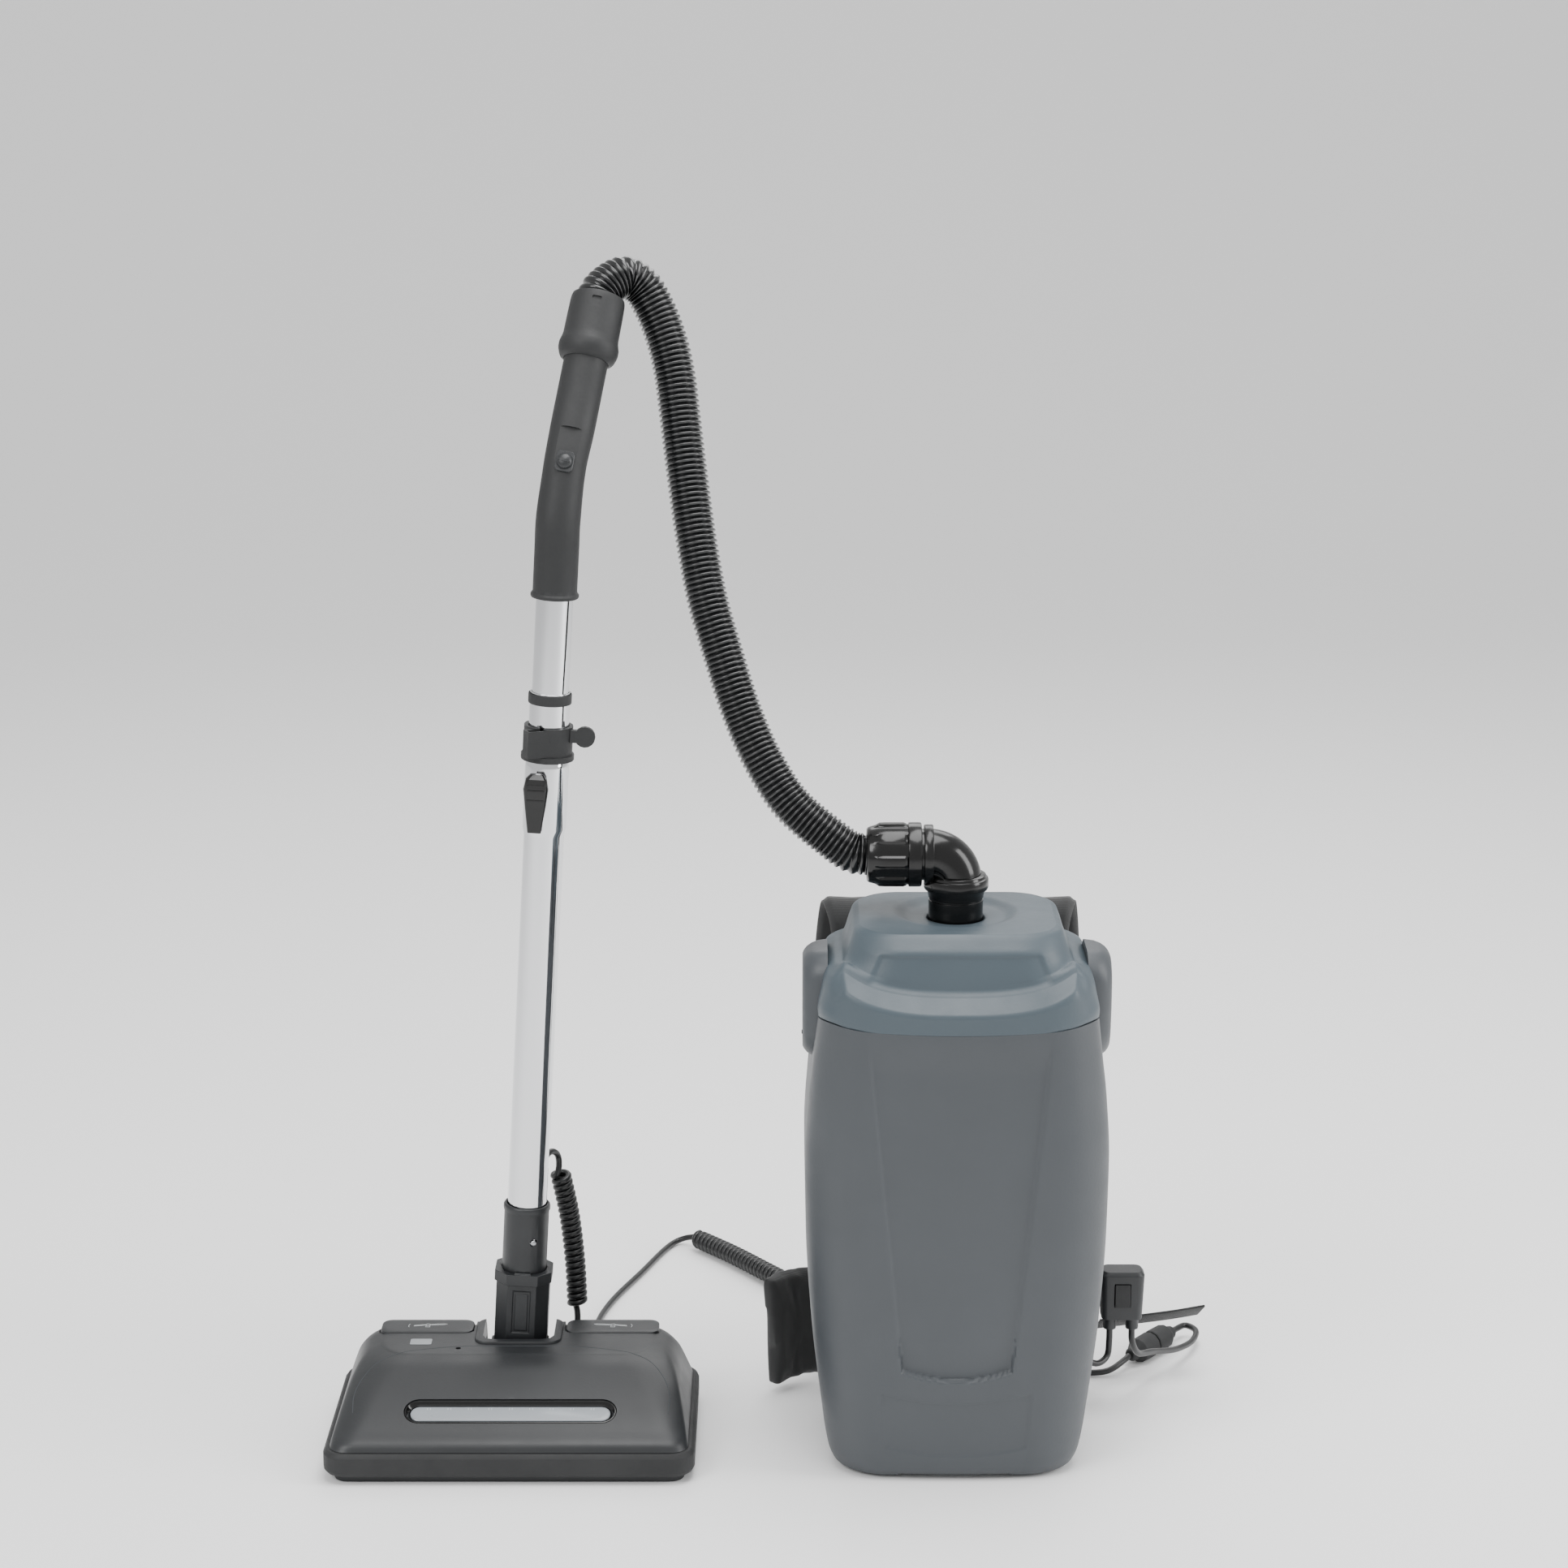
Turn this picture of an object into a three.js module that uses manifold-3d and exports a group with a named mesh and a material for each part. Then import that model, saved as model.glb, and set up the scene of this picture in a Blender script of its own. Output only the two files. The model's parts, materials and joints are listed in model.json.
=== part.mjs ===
// Backpack vacuum cleaner with a motorised floor head, telescopic wand, hose and harness.
// Millimetres, +Z up, +X to the wearer's left, -Y towards the viewer; the floor is z = 0.
import * as THREE from "three";
import { mergeVertices } from "three/addons/utils/BufferGeometryUtils.js";
import Module from "manifold-3d";

const wasm = await Module();
wasm.setup();

// Driving dimensions. Every position below is measured from these.
const FIT = 0.3; // gap between two pieces that touch
const ROW_SHIFT = new THREE.Vector3(5.55, -1.3, 0); // brings the middle of the whole row onto x = 0, y = 0

const PACK = {
  x: 163,
  y: -38,
  bottom: 14,
  seam: 440,
  top: 530,
  wall: 3.5,
  socketX: 0,
  socketY: 22,
};
const HEAD = { x: -262, y: -38, width: 354, depth: 222, pivotZ: 62, pivotY: 68 };
const WAND = { leanRight: 3.5, leanFront: 1.2, tubeR: 19.2, innerR: 17.5 };
const GRIP = { bendZ: 864, back: 28, right: 7, cuffFrom: 132 };
const HOSE_R = 20;
const CORD_R = 3.2;
const COIL_R = 12;

const root = new THREE.Group();
root.name = "backpack_vacuum";
const row = new THREE.Group();
row.position.copy(ROW_SHIFT);
root.add(row);

// ---------------------------------------------------------------- materials
const paint = (color, roughness, metalness = 0) =>
  new THREE.MeshStandardMaterial({ color, roughness, metalness });
const LOOK = {
  bodyGrey: paint(0x5f656b, 0.5),
  lidGrey: paint(0x66747d, 0.5),
  latchSlate: paint(0x46535a, 0.45),
  satinBlack: paint(0x26282a, 0.45),
  softBlack: paint(0x2b2d2f, 0.75),
  glossBlack: paint(0x0d0e0f, 0.22),
  hoseBlack: paint(0x101112, 0.3),
  chrome: paint(0xd9dadb, 0.12, 1),
  steel: paint(0xa8aaac, 0.35, 1),
  lens: paint(0x8d9196, 0.4),
  bristle: paint(0x1b1c1d, 0.9),
  webbing: paint(0x17181a, 0.9),
  cloth: paint(0x1d1e20, 0.95),
  paper: paint(0xc9c2b2, 0.95),
  rubber: paint(0x18191a, 0.85),
  foam: paint(0x33363a, 1.0),
};

// ---------------------------------------------------------------- solids
function solid(geometry) {
  const plain = geometry.clone();
  plain.deleteAttribute("normal");
  plain.deleteAttribute("uv");
  const merged = mergeVertices(plain, 1e-3);
  return new wasm.Manifold(
    new wasm.Mesh({
      numProp: 3,
      vertProperties: new Float32Array(merged.attributes.position.array),
      triVerts: new Uint32Array(merged.index.array),
    }),
  );
}

function geometryOf(manifold) {
  const mesh = manifold.getMesh();
  const geometry = new THREE.BufferGeometry();
  geometry.setAttribute("position", new THREE.BufferAttribute(mesh.vertProperties, 3));
  geometry.setIndex(new THREE.BufferAttribute(mesh.triVerts, 1));
  geometry.computeVertexNormals();
  return geometry;
}

// Joins every item of `plus` and takes every item of `minus` away.
function carve(plus, minus = []) {
  let body = solid(plus[0]);
  for (const more of plus.slice(1)) body = body.add(solid(more));
  for (const less of minus) body = body.subtract(solid(less));
  return geometryOf(body);
}

const rad = THREE.MathUtils.degToRad;
const at = (geometry, x, y, z) => geometry.translate(x, y, z);
const turnX = (geometry, degrees) => geometry.rotateX(rad(degrees));
const turnY = (geometry, degrees) => geometry.rotateY(rad(degrees));
const turnZ = (geometry, degrees) => geometry.rotateZ(rad(degrees));

// A box centred on x and y that stands on z = 0.
const block = (w, d, h) => at(new THREE.BoxGeometry(w, d, h), 0, 0, h / 2);

// A turned body about Z from [radius, z] points; the first and last lie on the axis, or they close a ring.
function turned(points, segments = 20) {
  const profile = points.map(([r, z]) => new THREE.Vector2(r, z));
  return turnX(new THREE.LatheGeometry(profile, segments), 90);
}

const rod = (r, h, segments = 16) => turned([[0, 0], [r, 0], [r, h], [0, h]], segments);

const tube = (outer, inner, h, segments = 20) =>
  turned([[inner, 0], [outer, 0], [outer, h], [inner, h], [inner, 0]], segments);

// Outline of a rounded rectangle, as a three.js shape.
function roundedShape(w, d, r, cx = 0, cy = 0) {
  const shape = new THREE.Shape();
  const x0 = cx - w / 2;
  const y0 = cy - d / 2;
  shape.moveTo(x0 + r, y0);
  shape.lineTo(x0 + w - r, y0);
  shape.absarc(x0 + w - r, y0 + r, r, -Math.PI / 2, 0);
  shape.lineTo(x0 + w, y0 + d - r);
  shape.absarc(x0 + w - r, y0 + d - r, r, 0, Math.PI / 2);
  shape.lineTo(x0 + r, y0 + d);
  shape.absarc(x0 + r, y0 + d - r, r, Math.PI / 2, Math.PI);
  shape.lineTo(x0, y0 + r);
  shape.absarc(x0 + r, y0 + r, r, Math.PI, Math.PI * 1.5);
  return shape;
}

const slab = (w, d, h, r, curveSegments = 4) =>
  new THREE.ExtrudeGeometry(roundedShape(w, d, r), { depth: h, bevelEnabled: false, curveSegments });

// A loft of rounded-rectangle rings: each ring is { z, w, d, r, x?, y? }; `arc` steps turn each corner.
function ringPoints({ z, w, d, r, x = 0, y = 0 }, arc) {
  const points = [];
  const corners = [[1, -1, -90], [1, 1, 0], [-1, 1, 90], [-1, -1, 180]];
  for (const [sx, sy, start] of corners) {
    for (let i = 0; i <= arc; i++) {
      const a = rad(start + (90 * i) / arc);
      points.push([x + sx * (w / 2 - r) + r * Math.cos(a), y + sy * (d / 2 - r) + r * Math.sin(a), z]);
    }
  }
  return points;
}

// Draws a closed cylinder's skin over the loops: its rows of vertices, bottom to top, become the loops.
function loftOf(loops) {
  const n = loops[0].length;
  const rows = loops.length - 1;
  const geometry = new THREE.CylinderGeometry(1, 1, rows, n, rows);
  const spot = geometry.getAttribute("position");
  for (let v = 0; v < spot.count; v++) {
    const k = Math.round(spot.getY(v) + rows / 2);
    const angle = Math.atan2(spot.getX(v), spot.getZ(v));
    const i = (Math.round((angle * n) / (2 * Math.PI)) + n) % n;
    const onAxis = Math.hypot(spot.getX(v), spot.getZ(v)) < 0.5;
    const middle = loops[k].reduce((sum, p) => sum.map((c, j) => c + p[j] / n), [0, 0, 0]);
    spot.setXYZ(v, ...(onAxis ? middle : loops[k][i]));
  }
  return geometry;
}

const loft = (rings, arc = 3) => loftOf(rings.map((ring) => ringPoints(ring, arc)));

// A round or flat section swept along a smooth curve through the points.
function sweep(points, outline, steps) {
  const path = new THREE.CatmullRomCurve3(points.map((p) => new THREE.Vector3(...p)), false, "centripetal");
  const shape = new THREE.Shape(outline.map(([u, v]) => new THREE.Vector2(u, v)));
  return new THREE.ExtrudeGeometry(shape, { steps, bevelEnabled: false, extrudePath: path });
}

function roundOutline(r, sides) {
  const outline = [];
  for (let i = 0; i < sides; i++) {
    const a = (2 * Math.PI * i) / sides;
    outline.push([r * Math.cos(a), r * Math.sin(a)]);
  }
  return outline;
}

const cord = (points, r, steps, sides = 8) => sweep(points, roundOutline(r, sides), steps);

// A flat strap: a strip of given width (along `across`) and thickness that follows points in a plane.
function strap(points, width, thickness, across = new THREE.Vector3(1, 0, 0), steps = 20) {
  const path = new THREE.CatmullRomCurve3(points.map((p) => new THREE.Vector3(...p)), false, "centripetal");
  const loops = [];
  for (let i = 0; i <= steps; i++) {
    const p = path.getPointAt(i / steps);
    const along = path.getTangentAt(i / steps);
    const side = across.clone().addScaledVector(along, -across.dot(along)).normalize();
    const up = along.clone().cross(side).normalize();
    const corners = [[-1, -1], [1, -1], [1, 1], [-1, 1]];
    loops.push(
      corners.map(([u, v]) => {
        const q = p.clone().addScaledVector(side, (u * width) / 2).addScaledVector(up, (v * thickness) / 2);
        return [q.x, q.y, q.z];
      }),
    );
  }
  return loftOf(loops);
}

function part(group, name, geometry, material) {
  const mesh = new THREE.Mesh(geometry, material);
  mesh.name = name;
  group.add(mesh);
  return mesh;
}

// ---------------------------------------------------------------- backpack body
const pack = new THREE.Group();
pack.position.set(PACK.x, PACK.y, 0);
row.add(pack);

// Width and depth of the casing at a height: narrow foot, full belly, slightly drawn-in neck.
const CASING = [
  { z: 0, w: 212, d: 176, r: 44 },
  { z: 6, w: 230, d: 196, r: 50 },
  { z: 22, w: 242, d: 206, r: 52 },
  { z: 70, w: 256, d: 213, r: 54 },
  { z: 150, w: 274, d: 220, r: 56 },
  { z: 240, w: 285, d: 223, r: 58 },
  { z: 310, w: 287, d: 223, r: 58 },
  { z: 370, w: 280, d: 221, r: 56 },
  { z: PACK.seam - FIT, w: 262, d: 218, r: 54 },
];
const grown = (ring, by) => ({ ...ring, w: ring.w + 2 * by, d: ring.d + 2 * by, r: ring.r + by });

function casingShell() {
  const inside = CASING.map((ring) => grown(ring, -PACK.wall)).filter((ring) => ring.z > 20);
  inside[0] = { ...inside[0], z: PACK.bottom };
  inside[inside.length - 1] = { ...inside[inside.length - 1], z: PACK.seam + 1 };
  const panel = at(loft([
    { z: 0, w: 104, d: 24, r: 11 },
    { z: 262, w: 158, d: 24, r: 11 },
  ], 3), 0, -121.3, 112);
  const label = at(turnX(slab(146, 58, 20, 9), 90), 0, -104.4, 58);
  const footGap = at(block(112, 60, 7), 0, -84, -1);
  const leadHole = at(turnX(rod(4.2, 30, 12), -90), 96, 90, 60);
  const switchHole = at(turnY(rod(4.2, 30, 12), 90), 110, 60, 56);
  const housings = [-1, 1].map((side) =>
    at(turnY(loft([
      { z: 131.9, w: 104, d: 78, r: 20 },
      { z: 140, w: 100, d: 74, r: 22 },
      { z: 145.5, w: 88, d: 60, r: 22 },
    ], 3), 90 * side), 0, 0, 448));
  const pockets = [-1, 1].map((side) => at(turnY(loft([
    { z: 139.8, w: 90, d: 46, r: 20 },
    { z: 150, w: 90, d: 46, r: 20 },
  ], 3), 90 * side), 0, 0, 448));
  const cuts = [loft(inside), panel, label, footGap, leadHole, switchHole, ...pockets];
  return carve([loft(CASING), ...housings], cuts);
}
part(pack, "main_shell", casingShell(), LOOK.bodyGrey);

// ---------------------------------------------------------------- lid
const LID = [
  { z: PACK.seam, w: 262, d: 218, r: 54 },
  { z: 446, w: 263, d: 219, r: 54 },
  { z: 480, w: 254, d: 214, r: 54 },
  { z: 491, w: 246, d: 207, r: 52 },
  { z: 496, w: 232, d: 194, r: 50 },
  { z: 499, w: 216, d: 184, r: 46, y: 3 },
  { z: 520, w: 200, d: 168, r: 44, y: 9 },
  { z: 527, w: 194, d: 160, r: 42, y: 11 },
  { z: PACK.top, w: 184, d: 150, r: 40, y: 12 },
];

function lidShell() {
  const inside = LID.map((ring) => grown(ring, -PACK.wall)).slice(0, 8);
  inside[0] = { ...inside[0], z: PACK.seam - 1 };
  inside[7] = { ...inside[7], z: PACK.top - 9 };
  const bowl = at(turned([[0, -6], [46, -6], [60, 1], [0, 1]], 20), PACK.socketX, PACK.socketY, PACK.top);
  const hole = at(rod(27, 60, 20), PACK.socketX, PACK.socketY, PACK.top - 40);
  const room = carve([loft(inside)], [lidFacet(PACK.wall)]);
  return carve([loft(LID)], [room, bowl, hole, lidFacet(0)]);
}

// The flat facet at the lid's front; `by` makes it larger on every side, for the wall behind it.
function lidFacet(by) {
  return at(turnX(loft([
    { z: -by, w: 152 + 2 * by, d: 70 + 2 * by, r: 12 },
    { z: 30, w: 176 + 2 * by, d: 96 + 2 * by, r: 14 },
  ], 3), 32), 0, -92, 497);
}

const lid = new THREE.Group();
pack.add(lid);
part(lid, "lid", lidShell(), LOOK.lidGrey);

const SEAL = { w: 250, d: 206, r: 48 };
const sealRing = carve(
  [loft([{ z: 436, ...SEAL }, { z: 446, ...SEAL }], 3)],
  [loft([{ z: 430, ...grown(SEAL, -5) }, { z: 450, ...grown(SEAL, -5) }], 3)],
);
part(lid, "lid_seal", sealRing, LOOK.rubber);

// Latch: a lens-shaped lever in each housing, hinged on a round barrel at its lower end.
function latchLever(side) {
  const outline = new THREE.Shape();
  outline.moveTo(-5, -4);
  outline.lineTo(5, -4);
  outline.quadraticCurveTo(21, 30, 19, 62);
  outline.quadraticCurveTo(15, 78, 0, 80);
  outline.quadraticCurveTo(-15, 78, -19, 62);
  outline.quadraticCurveTo(-21, 30, -5, -4);
  const plate = new THREE.ExtrudeGeometry(outline, { depth: 3.6, bevelEnabled: false, curveSegments: 5 });
  plate.rotateX(Math.PI / 2).rotateZ(Math.PI / 2);
  const lever = at(plate, 141.2, 0, 409);
  const barrel = at(turnX(rod(2.2, 20, 12), -90), 143, -10, 407);
  const made = carve([lever, barrel]);
  return side > 0 ? made : turnZ(made, 180);
}
for (const [name, side] of [["left", -1], ["right", 1]]) {
  part(pack, "latch_" + name, latchLever(side), LOOK.latchSlate);
}

// ---------------------------------------------------------------- inlet elbow
const ELBOW = { z: 584.5, bend: 26, outer: 24.5, inner: 21, cuffFrom: 33, cuffLength: 52 };
const elbow = new THREE.Group();
elbow.position.set(PACK.socketX, PACK.socketY, 0);
lid.add(elbow);

function elbowBend(r) {
  const path = new THREE.CurvePath();
  const z0 = ELBOW.z - ELBOW.bend;
  path.add(new THREE.LineCurve3(new THREE.Vector3(0, 0, z0 - 10), new THREE.Vector3(0, 0, z0)));
  const arc = [];
  for (let i = 0; i <= 6; i++) {
    const a = (Math.PI / 2) * (i / 6);
    arc.push(new THREE.Vector3(-ELBOW.bend * (1 - Math.cos(a)), 0, z0 + ELBOW.bend * Math.sin(a)));
  }
  path.add(new THREE.CatmullRomCurve3(arc, false, "centripetal"));
  path.add(new THREE.LineCurve3(arc[6], new THREE.Vector3(-46, 0, ELBOW.z)));
  const shape = new THREE.Shape(roundOutline(r, 14).map(([u, v]) => new THREE.Vector2(u, v)));
  return new THREE.ExtrudeGeometry(shape, { steps: 7, bevelEnabled: false, extrudePath: path });
}
const elbowSolid = carve(
  [
    elbowBend(ELBOW.outer),
    at(rod(26, 48, 20), 0, 0, 504),
    at(turned([[0, 0], [29, 0], [31, 3], [31, 12], [28, 15], [0, 15]], 20), 0, 0, 550),
    at(turnY(rod(28.5, 9, 20), -90), -22, 0, ELBOW.z),
  ],
  [
    elbowBend(ELBOW.inner),
    at(rod(ELBOW.inner, 60, 20), 0, 0, 500),
    at(turnY(rod(ELBOW.inner, 20, 20), -90), -36, 0, ELBOW.z),
  ],
);
part(elbow, "elbow_pipe", elbowSolid, LOOK.glossBlack);

function hoseCuff() {
  const sleeve = turned([
    [25, 0], [30, 0], [30.5, 4], [29.5, 40], [27, 48], [24.5, ELBOW.cuffLength], [20.6, ELBOW.cuffLength],
    [20.6, 40], [25, 40], [25, 0],
  ], 20);
  const ribs = [];
  for (let i = 0; i < 8; i++) ribs.push(turnZ(at(block(5, 11, 34), 29.8, 0, 3), i * 45 + 22.5));
  return at(turnY(carve([sleeve, ...ribs]), -90), -ELBOW.cuffFrom, 0, ELBOW.z);
}
part(elbow, "hose_cuff", hoseCuff(), LOOK.glossBlack);

// ---------------------------------------------------------------- inside the casing
part(pack, "motor_deck", carve(
  [at(slab(250, 196, 3, 48, 3), 0, 0, 118)],
  [at(rod(46, 9, 20), 0, 0, 115)],
), LOOK.satinBlack);
part(pack, "motor_housing", at(turned([
  [0, 0], [68, 0], [74, 8], [74, 78], [70, 90], [60, 90], [60, 78], [64, 74], [64, 8], [9, 4], [0, 4],
], 20), 0, 0, 24), LOOK.satinBlack);

const fan = new THREE.Group();
fan.position.set(0, 0, 84);
pack.add(fan);
function impeller() {
  const blades = [];
  for (let i = 0; i < 8; i++) blades.push(turnZ(at(turnZ(block(36, 2, 13), 35), 34, 0, 2), i * 45));
  const hub = turned([[0, 0], [56, 0], [56, 2.5], [12, 2.5], [8, 16], [0, 16]], 20);
  return carve([hub, ...blades, at(rod(5, 62, 12), 0, 0, -50)]);
}
part(fan, "impeller", impeller(), LOOK.steel);

part(pack, "motor_filter", at(turned([
  [0, 0], [66, 0], [68, 4], [68, 16], [66, 20], [0, 20],
], 20), 0, 0, 121.4), LOOK.foam);
part(pack, "filter_bag", loft([
  { z: 150, w: 96, d: 80, r: 34 },
  { z: 162, w: 168, d: 130, r: 40 },
  { z: 230, w: 196, d: 150, r: 44 },
  { z: 340, w: 190, d: 146, r: 42 },
  { z: 405, w: 150, d: 120, r: 40 },
  { z: 424, w: 84, d: 84, r: 38 },
], 3), LOOK.paper);
part(pack, "bag_collar", at(tube(48, 27, 5, 20), 0, 0, 424.4), LOOK.softBlack);

// ---------------------------------------------------------------- harness
const BACK = 112; // where the harness plate starts behind the casing
const backPlate = carve(
  [at(turnX(slab(208, 380, 6, 40, 5), 90), 0, BACK + 6.4, 272)],
  [
    at(turnX(slab(36, 150, 12, 16, 4), 90), -45, BACK + 9, 330),
    at(turnX(slab(36, 150, 12, 16, 4), 90), 45, BACK + 9, 330),
  ],
);
part(pack, "back_plate", backPlate, LOOK.satinBlack);

// A crowned pad lying against the plate: w wide, h tall, t thick.
const pad = (w, h, t, r) => turnX(loft([
  { z: 0, w: w - 8, d: h - 8, r: r - 4 },
  { z: t * 0.3, w, d: h, r },
  { z: t * 0.7, w: w - 4, d: h - 4, r: r - 2 },
  { z: t, w: w - 34, d: h - 34, r: r - 8 },
], 4), -90);
part(pack, "back_pad", at(pad(170, 190, 18, 30), 0, BACK + 6.8, 340), LOOK.cloth);
part(pack, "lumbar_pad", at(pad(132, 104, 24, 34), 0, BACK + 6.8, 150), LOOK.cloth);

const straps = [["left", -1], ["right", 1]];
for (const [name, side] of straps) {
  const path = [
    [86 * side, BACK + 14, 444], [90 * side, BACK + 22, 490], [97 * side, BACK + 46, 500],
    [104 * side, BACK + 68, 440], [106 * side, BACK + 72, 340], [103 * side, BACK + 62, 240],
    [100 * side, BACK + 34, 166], [98 * side, BACK + 16, 142],
  ];
  part(pack, "shoulder_strap_" + name, strap(path, 58, 11, new THREE.Vector3(1, 0, 0), 18), LOOK.cloth);
}

// Waist belt: the left wing hangs round the side, the right wing trails outward and narrows to webbing.
const upright = new THREE.Vector3(0, 0, 1);
part(pack, "waist_wing_left", strap([
  [-102, BACK + 16, 70], [-132, BACK + 18, 69], [-160, BACK + 10, 68], [-178, BACK - 10, 66],
], 118, 16, upright, 10), LOOK.cloth);
part(pack, "waist_wing_right", strap([
  [102, BACK + 16, 70], [128, BACK + 20, 66], [150, BACK + 26, 62],
], 90, 14, upright, 8), LOOK.cloth);
part(pack, "belt_webbing", strap([
  [155, BACK + 27, 62], [190, BACK + 33, 64], [232, BACK + 42, 66], [262, BACK + 50, 68],
], 30, 4, new THREE.Vector3(0, -0.8, 0.6), 8), LOOK.webbing);
part(pack, "carry_handle", strap([
  [-49, BACK + 15.3, 441], [-49, BACK + 15.3, 470], [-38, BACK + 15.3, 501], [-14, BACK + 15.3, 513],
  [14, BACK + 15.3, 513], [38, BACK + 15.3, 501], [49, BACK + 15.3, 470], [49, BACK + 15.3, 441],
], 16, 4, new THREE.Vector3(0, 1, 0), 16), LOOK.webbing);

// Switch box clipped to the belt plate, with a rocker and two cord bushings on its outer end.
const SWITCH = { x: 172, y: 78, z: 96 };
const switchBox = new THREE.Group();
switchBox.position.set(SWITCH.x, SWITCH.y, SWITCH.z);
pack.add(switchBox);
part(switchBox, "switch_box", carve(
  [
    loft([{ z: 0, w: 40, d: 26, r: 6 }, { z: 46, w: 44, d: 28, r: 7 }, { z: 50, w: 38, d: 22, r: 6 }], 3),
    at(rod(6.5, 14, 12), -11, 0, -13),
    at(rod(6.5, 14, 12), 11, 0, -13),
    at(block(14, 42, 12), -23, 27, 10),
  ],
  [
    at(block(16, 12, 24), 0, -13, 14),
  ],
), LOOK.satinBlack);
part(switchBox, "switch_rocker", carve(
  [at(block(15, 7, 23), 0, -12, 14.5), at(turnY(rod(2.2, 15, 10), 90), -7.5, -12, 26)],
), LOOK.softBlack);

// ---------------------------------------------------------------- floor head
const head = new THREE.Group();
head.position.set(HEAD.x, HEAD.y, 0);
row.add(head);
const MOUTH = { w: 300, d: 52, y: -68 };
const WELL = { w: 70, front: 38 };
const BRUSH = { y: -68, z: 28, r: 12, tip: 19.5 };
const REAR = HEAD.depth / 2;

const mouthCut = (z, h) => at(block(MOUTH.w, MOUTH.d, h), 0, MOUTH.y, z);
function soleFrame() {
  const bars = [-90, -30, 30, 90].map((x) => at(block(5, MOUTH.d + 8, 3.4), x, MOUTH.y, 0));
  const frame = carve([at(slab(334, 202, 5, 14, 3), 0, 0, 0)], [mouthCut(-1, 9)]);
  const wheelGaps = [-128, 128].map((x) => at(block(22, 36, 12), x, 82, -2));
  return carve([frame, ...bars], wheelGaps);
}
part(head, "sole_plate", soleFrame(), LOOK.satinBlack);

function headBase() {
  const tray = at(slab(338, 206, 24, 16, 3), 0, 0, 5.3);
  const room = at(slab(326, 194, 30, 12, 3), 0, 0, 9);
  const brushWalls = [-1, 1].map((side) => at(block(326, 4, 20), 0, MOUTH.y + side * (MOUTH.d / 2 + 3), 8));
  const posts = [-1, 1].map((side) => at(block(9, 30, 62), side * 43, HEAD.pivotY, 8));
  const pinHole = at(turnY(rod(6.3, 120, 16), 90), -60, HEAD.pivotY, HEAD.pivotZ);
  const ends = [-1, 1].map((side) => at(block(7, MOUTH.d, 20), side * 146, MOUTH.y, 8));
  const brushHole = at(turnY(rod(4.3, 320, 12), 90), -160, BRUSH.y, BRUSH.z);
  const wheelGaps = [-128, 128].map((x) => at(block(22, 36, 40), x, 82, -2));
  const axleHole = at(turnY(rod(3.3, 300, 10), 90), -150, 82, 14);
  const cradles = [-150, -106, 106, 150].map((x) => at(block(8, 20, 18), x * 0.98, 82, 6));
  const beltSlot = at(block(12, 14, 40), -123.5, -41, 7);
  const rearGap = at(block(WELL.w, 40, 60), 0, REAR - 4, 9);
  const shell = carve([tray], [room, mouthCut(0, 20)]);
  return carve([shell, ...brushWalls, ...posts, ...ends, ...cradles],
    [pinHole, brushHole, ...wheelGaps, axleHole, beltSlot, rearGap]);
}
part(head, "head_base", headBase(), LOOK.satinBlack);

const BUMP = { w: HEAD.width, d: HEAD.depth };
part(head, "bumper", carve(
  [loft([
    { z: 8, w: BUMP.w - 6, d: BUMP.d - 6, r: 18 }, { z: 12, ...BUMP, r: 21 },
    { z: 27, ...BUMP, r: 21 }, { z: 31, w: BUMP.w - 6, d: BUMP.d - 6, r: 18 },
  ], 4)],
  [at(slab(338.8, 206.8, 40, 16.4, 3), 0, 0, 0)],
), LOOK.rubber);

// The cover rises from the bumper to a flat deck at the rear.
const COVER = [
  { z: 31.4, w: 342, d: 210, r: 17 },
  { z: 37, w: 339, d: 206, r: 20, y: 1 },
  { z: 46, w: 333, d: 190, r: 24, y: 8 },
  { z: 56, w: 326, d: 170, r: 28, y: 17 },
  { z: 66, w: 318, d: 148, r: 32, y: 27 },
  { z: 75, w: 306, d: 124, r: 36, y: 37 },
  { z: 81, w: 290, d: 104, r: 36, y: 44 },
  { z: 84, w: 268, d: 86, r: 32, y: 49 },
];
const WINDOW = { y: -65, z: 54.6, tilt: 25, w: 200, h: 26 };
const onSlope = (geometry, lift) =>
  at(turnX(at(geometry, 0, 0, lift), -WINDOW.tilt).rotateX(0), 0, WINDOW.y, WINDOW.z);
const capsule = (w, h, t) => slab(w, h, t, h / 2 - 0.01, 5);
const PEDAL = { x: 92, y: 76, w: 92, d: 34, z: 79.5 };

function headCover() {
  const inside = COVER.map((ring) => grown(ring, -3)).map((ring) => ({ ...ring, z: ring.z - 3 }));
  const well = at(slab(WELL.w, 120, 90, 10, 3), 0, WELL.front + 60, 9);
  const rim = at(slab(WELL.w + 14, 50, 12, 12, 3), 0, WELL.front + 18, 75.5);
  const rimCut = at(block(WELL.w + 20, 60, 30), 0, 104, 74);
  const windowCut = onSlope(capsule(WINDOW.w + 4, WINDOW.h + 4, 30), -16);
  const pedalCut = (side) => at(block(PEDAL.w + 2, PEDAL.d + 20, 20), side * PEDAL.x, PEDAL.y + 9, 72);
  const pedalCuts = [-1, 1].map(pedalCut);
  const cordHoles = [53, 84].map((x) => at(turnX(rod(5, 40, 12), -90), x, 80, 50));
  const raised = carve([rim], [rimCut]);
  return carve([loft(COVER), raised], [loft(inside), well, windowCut, ...pedalCuts, ...cordHoles]);
}
part(head, "head_cover", headCover(), LOOK.satinBlack);

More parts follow.
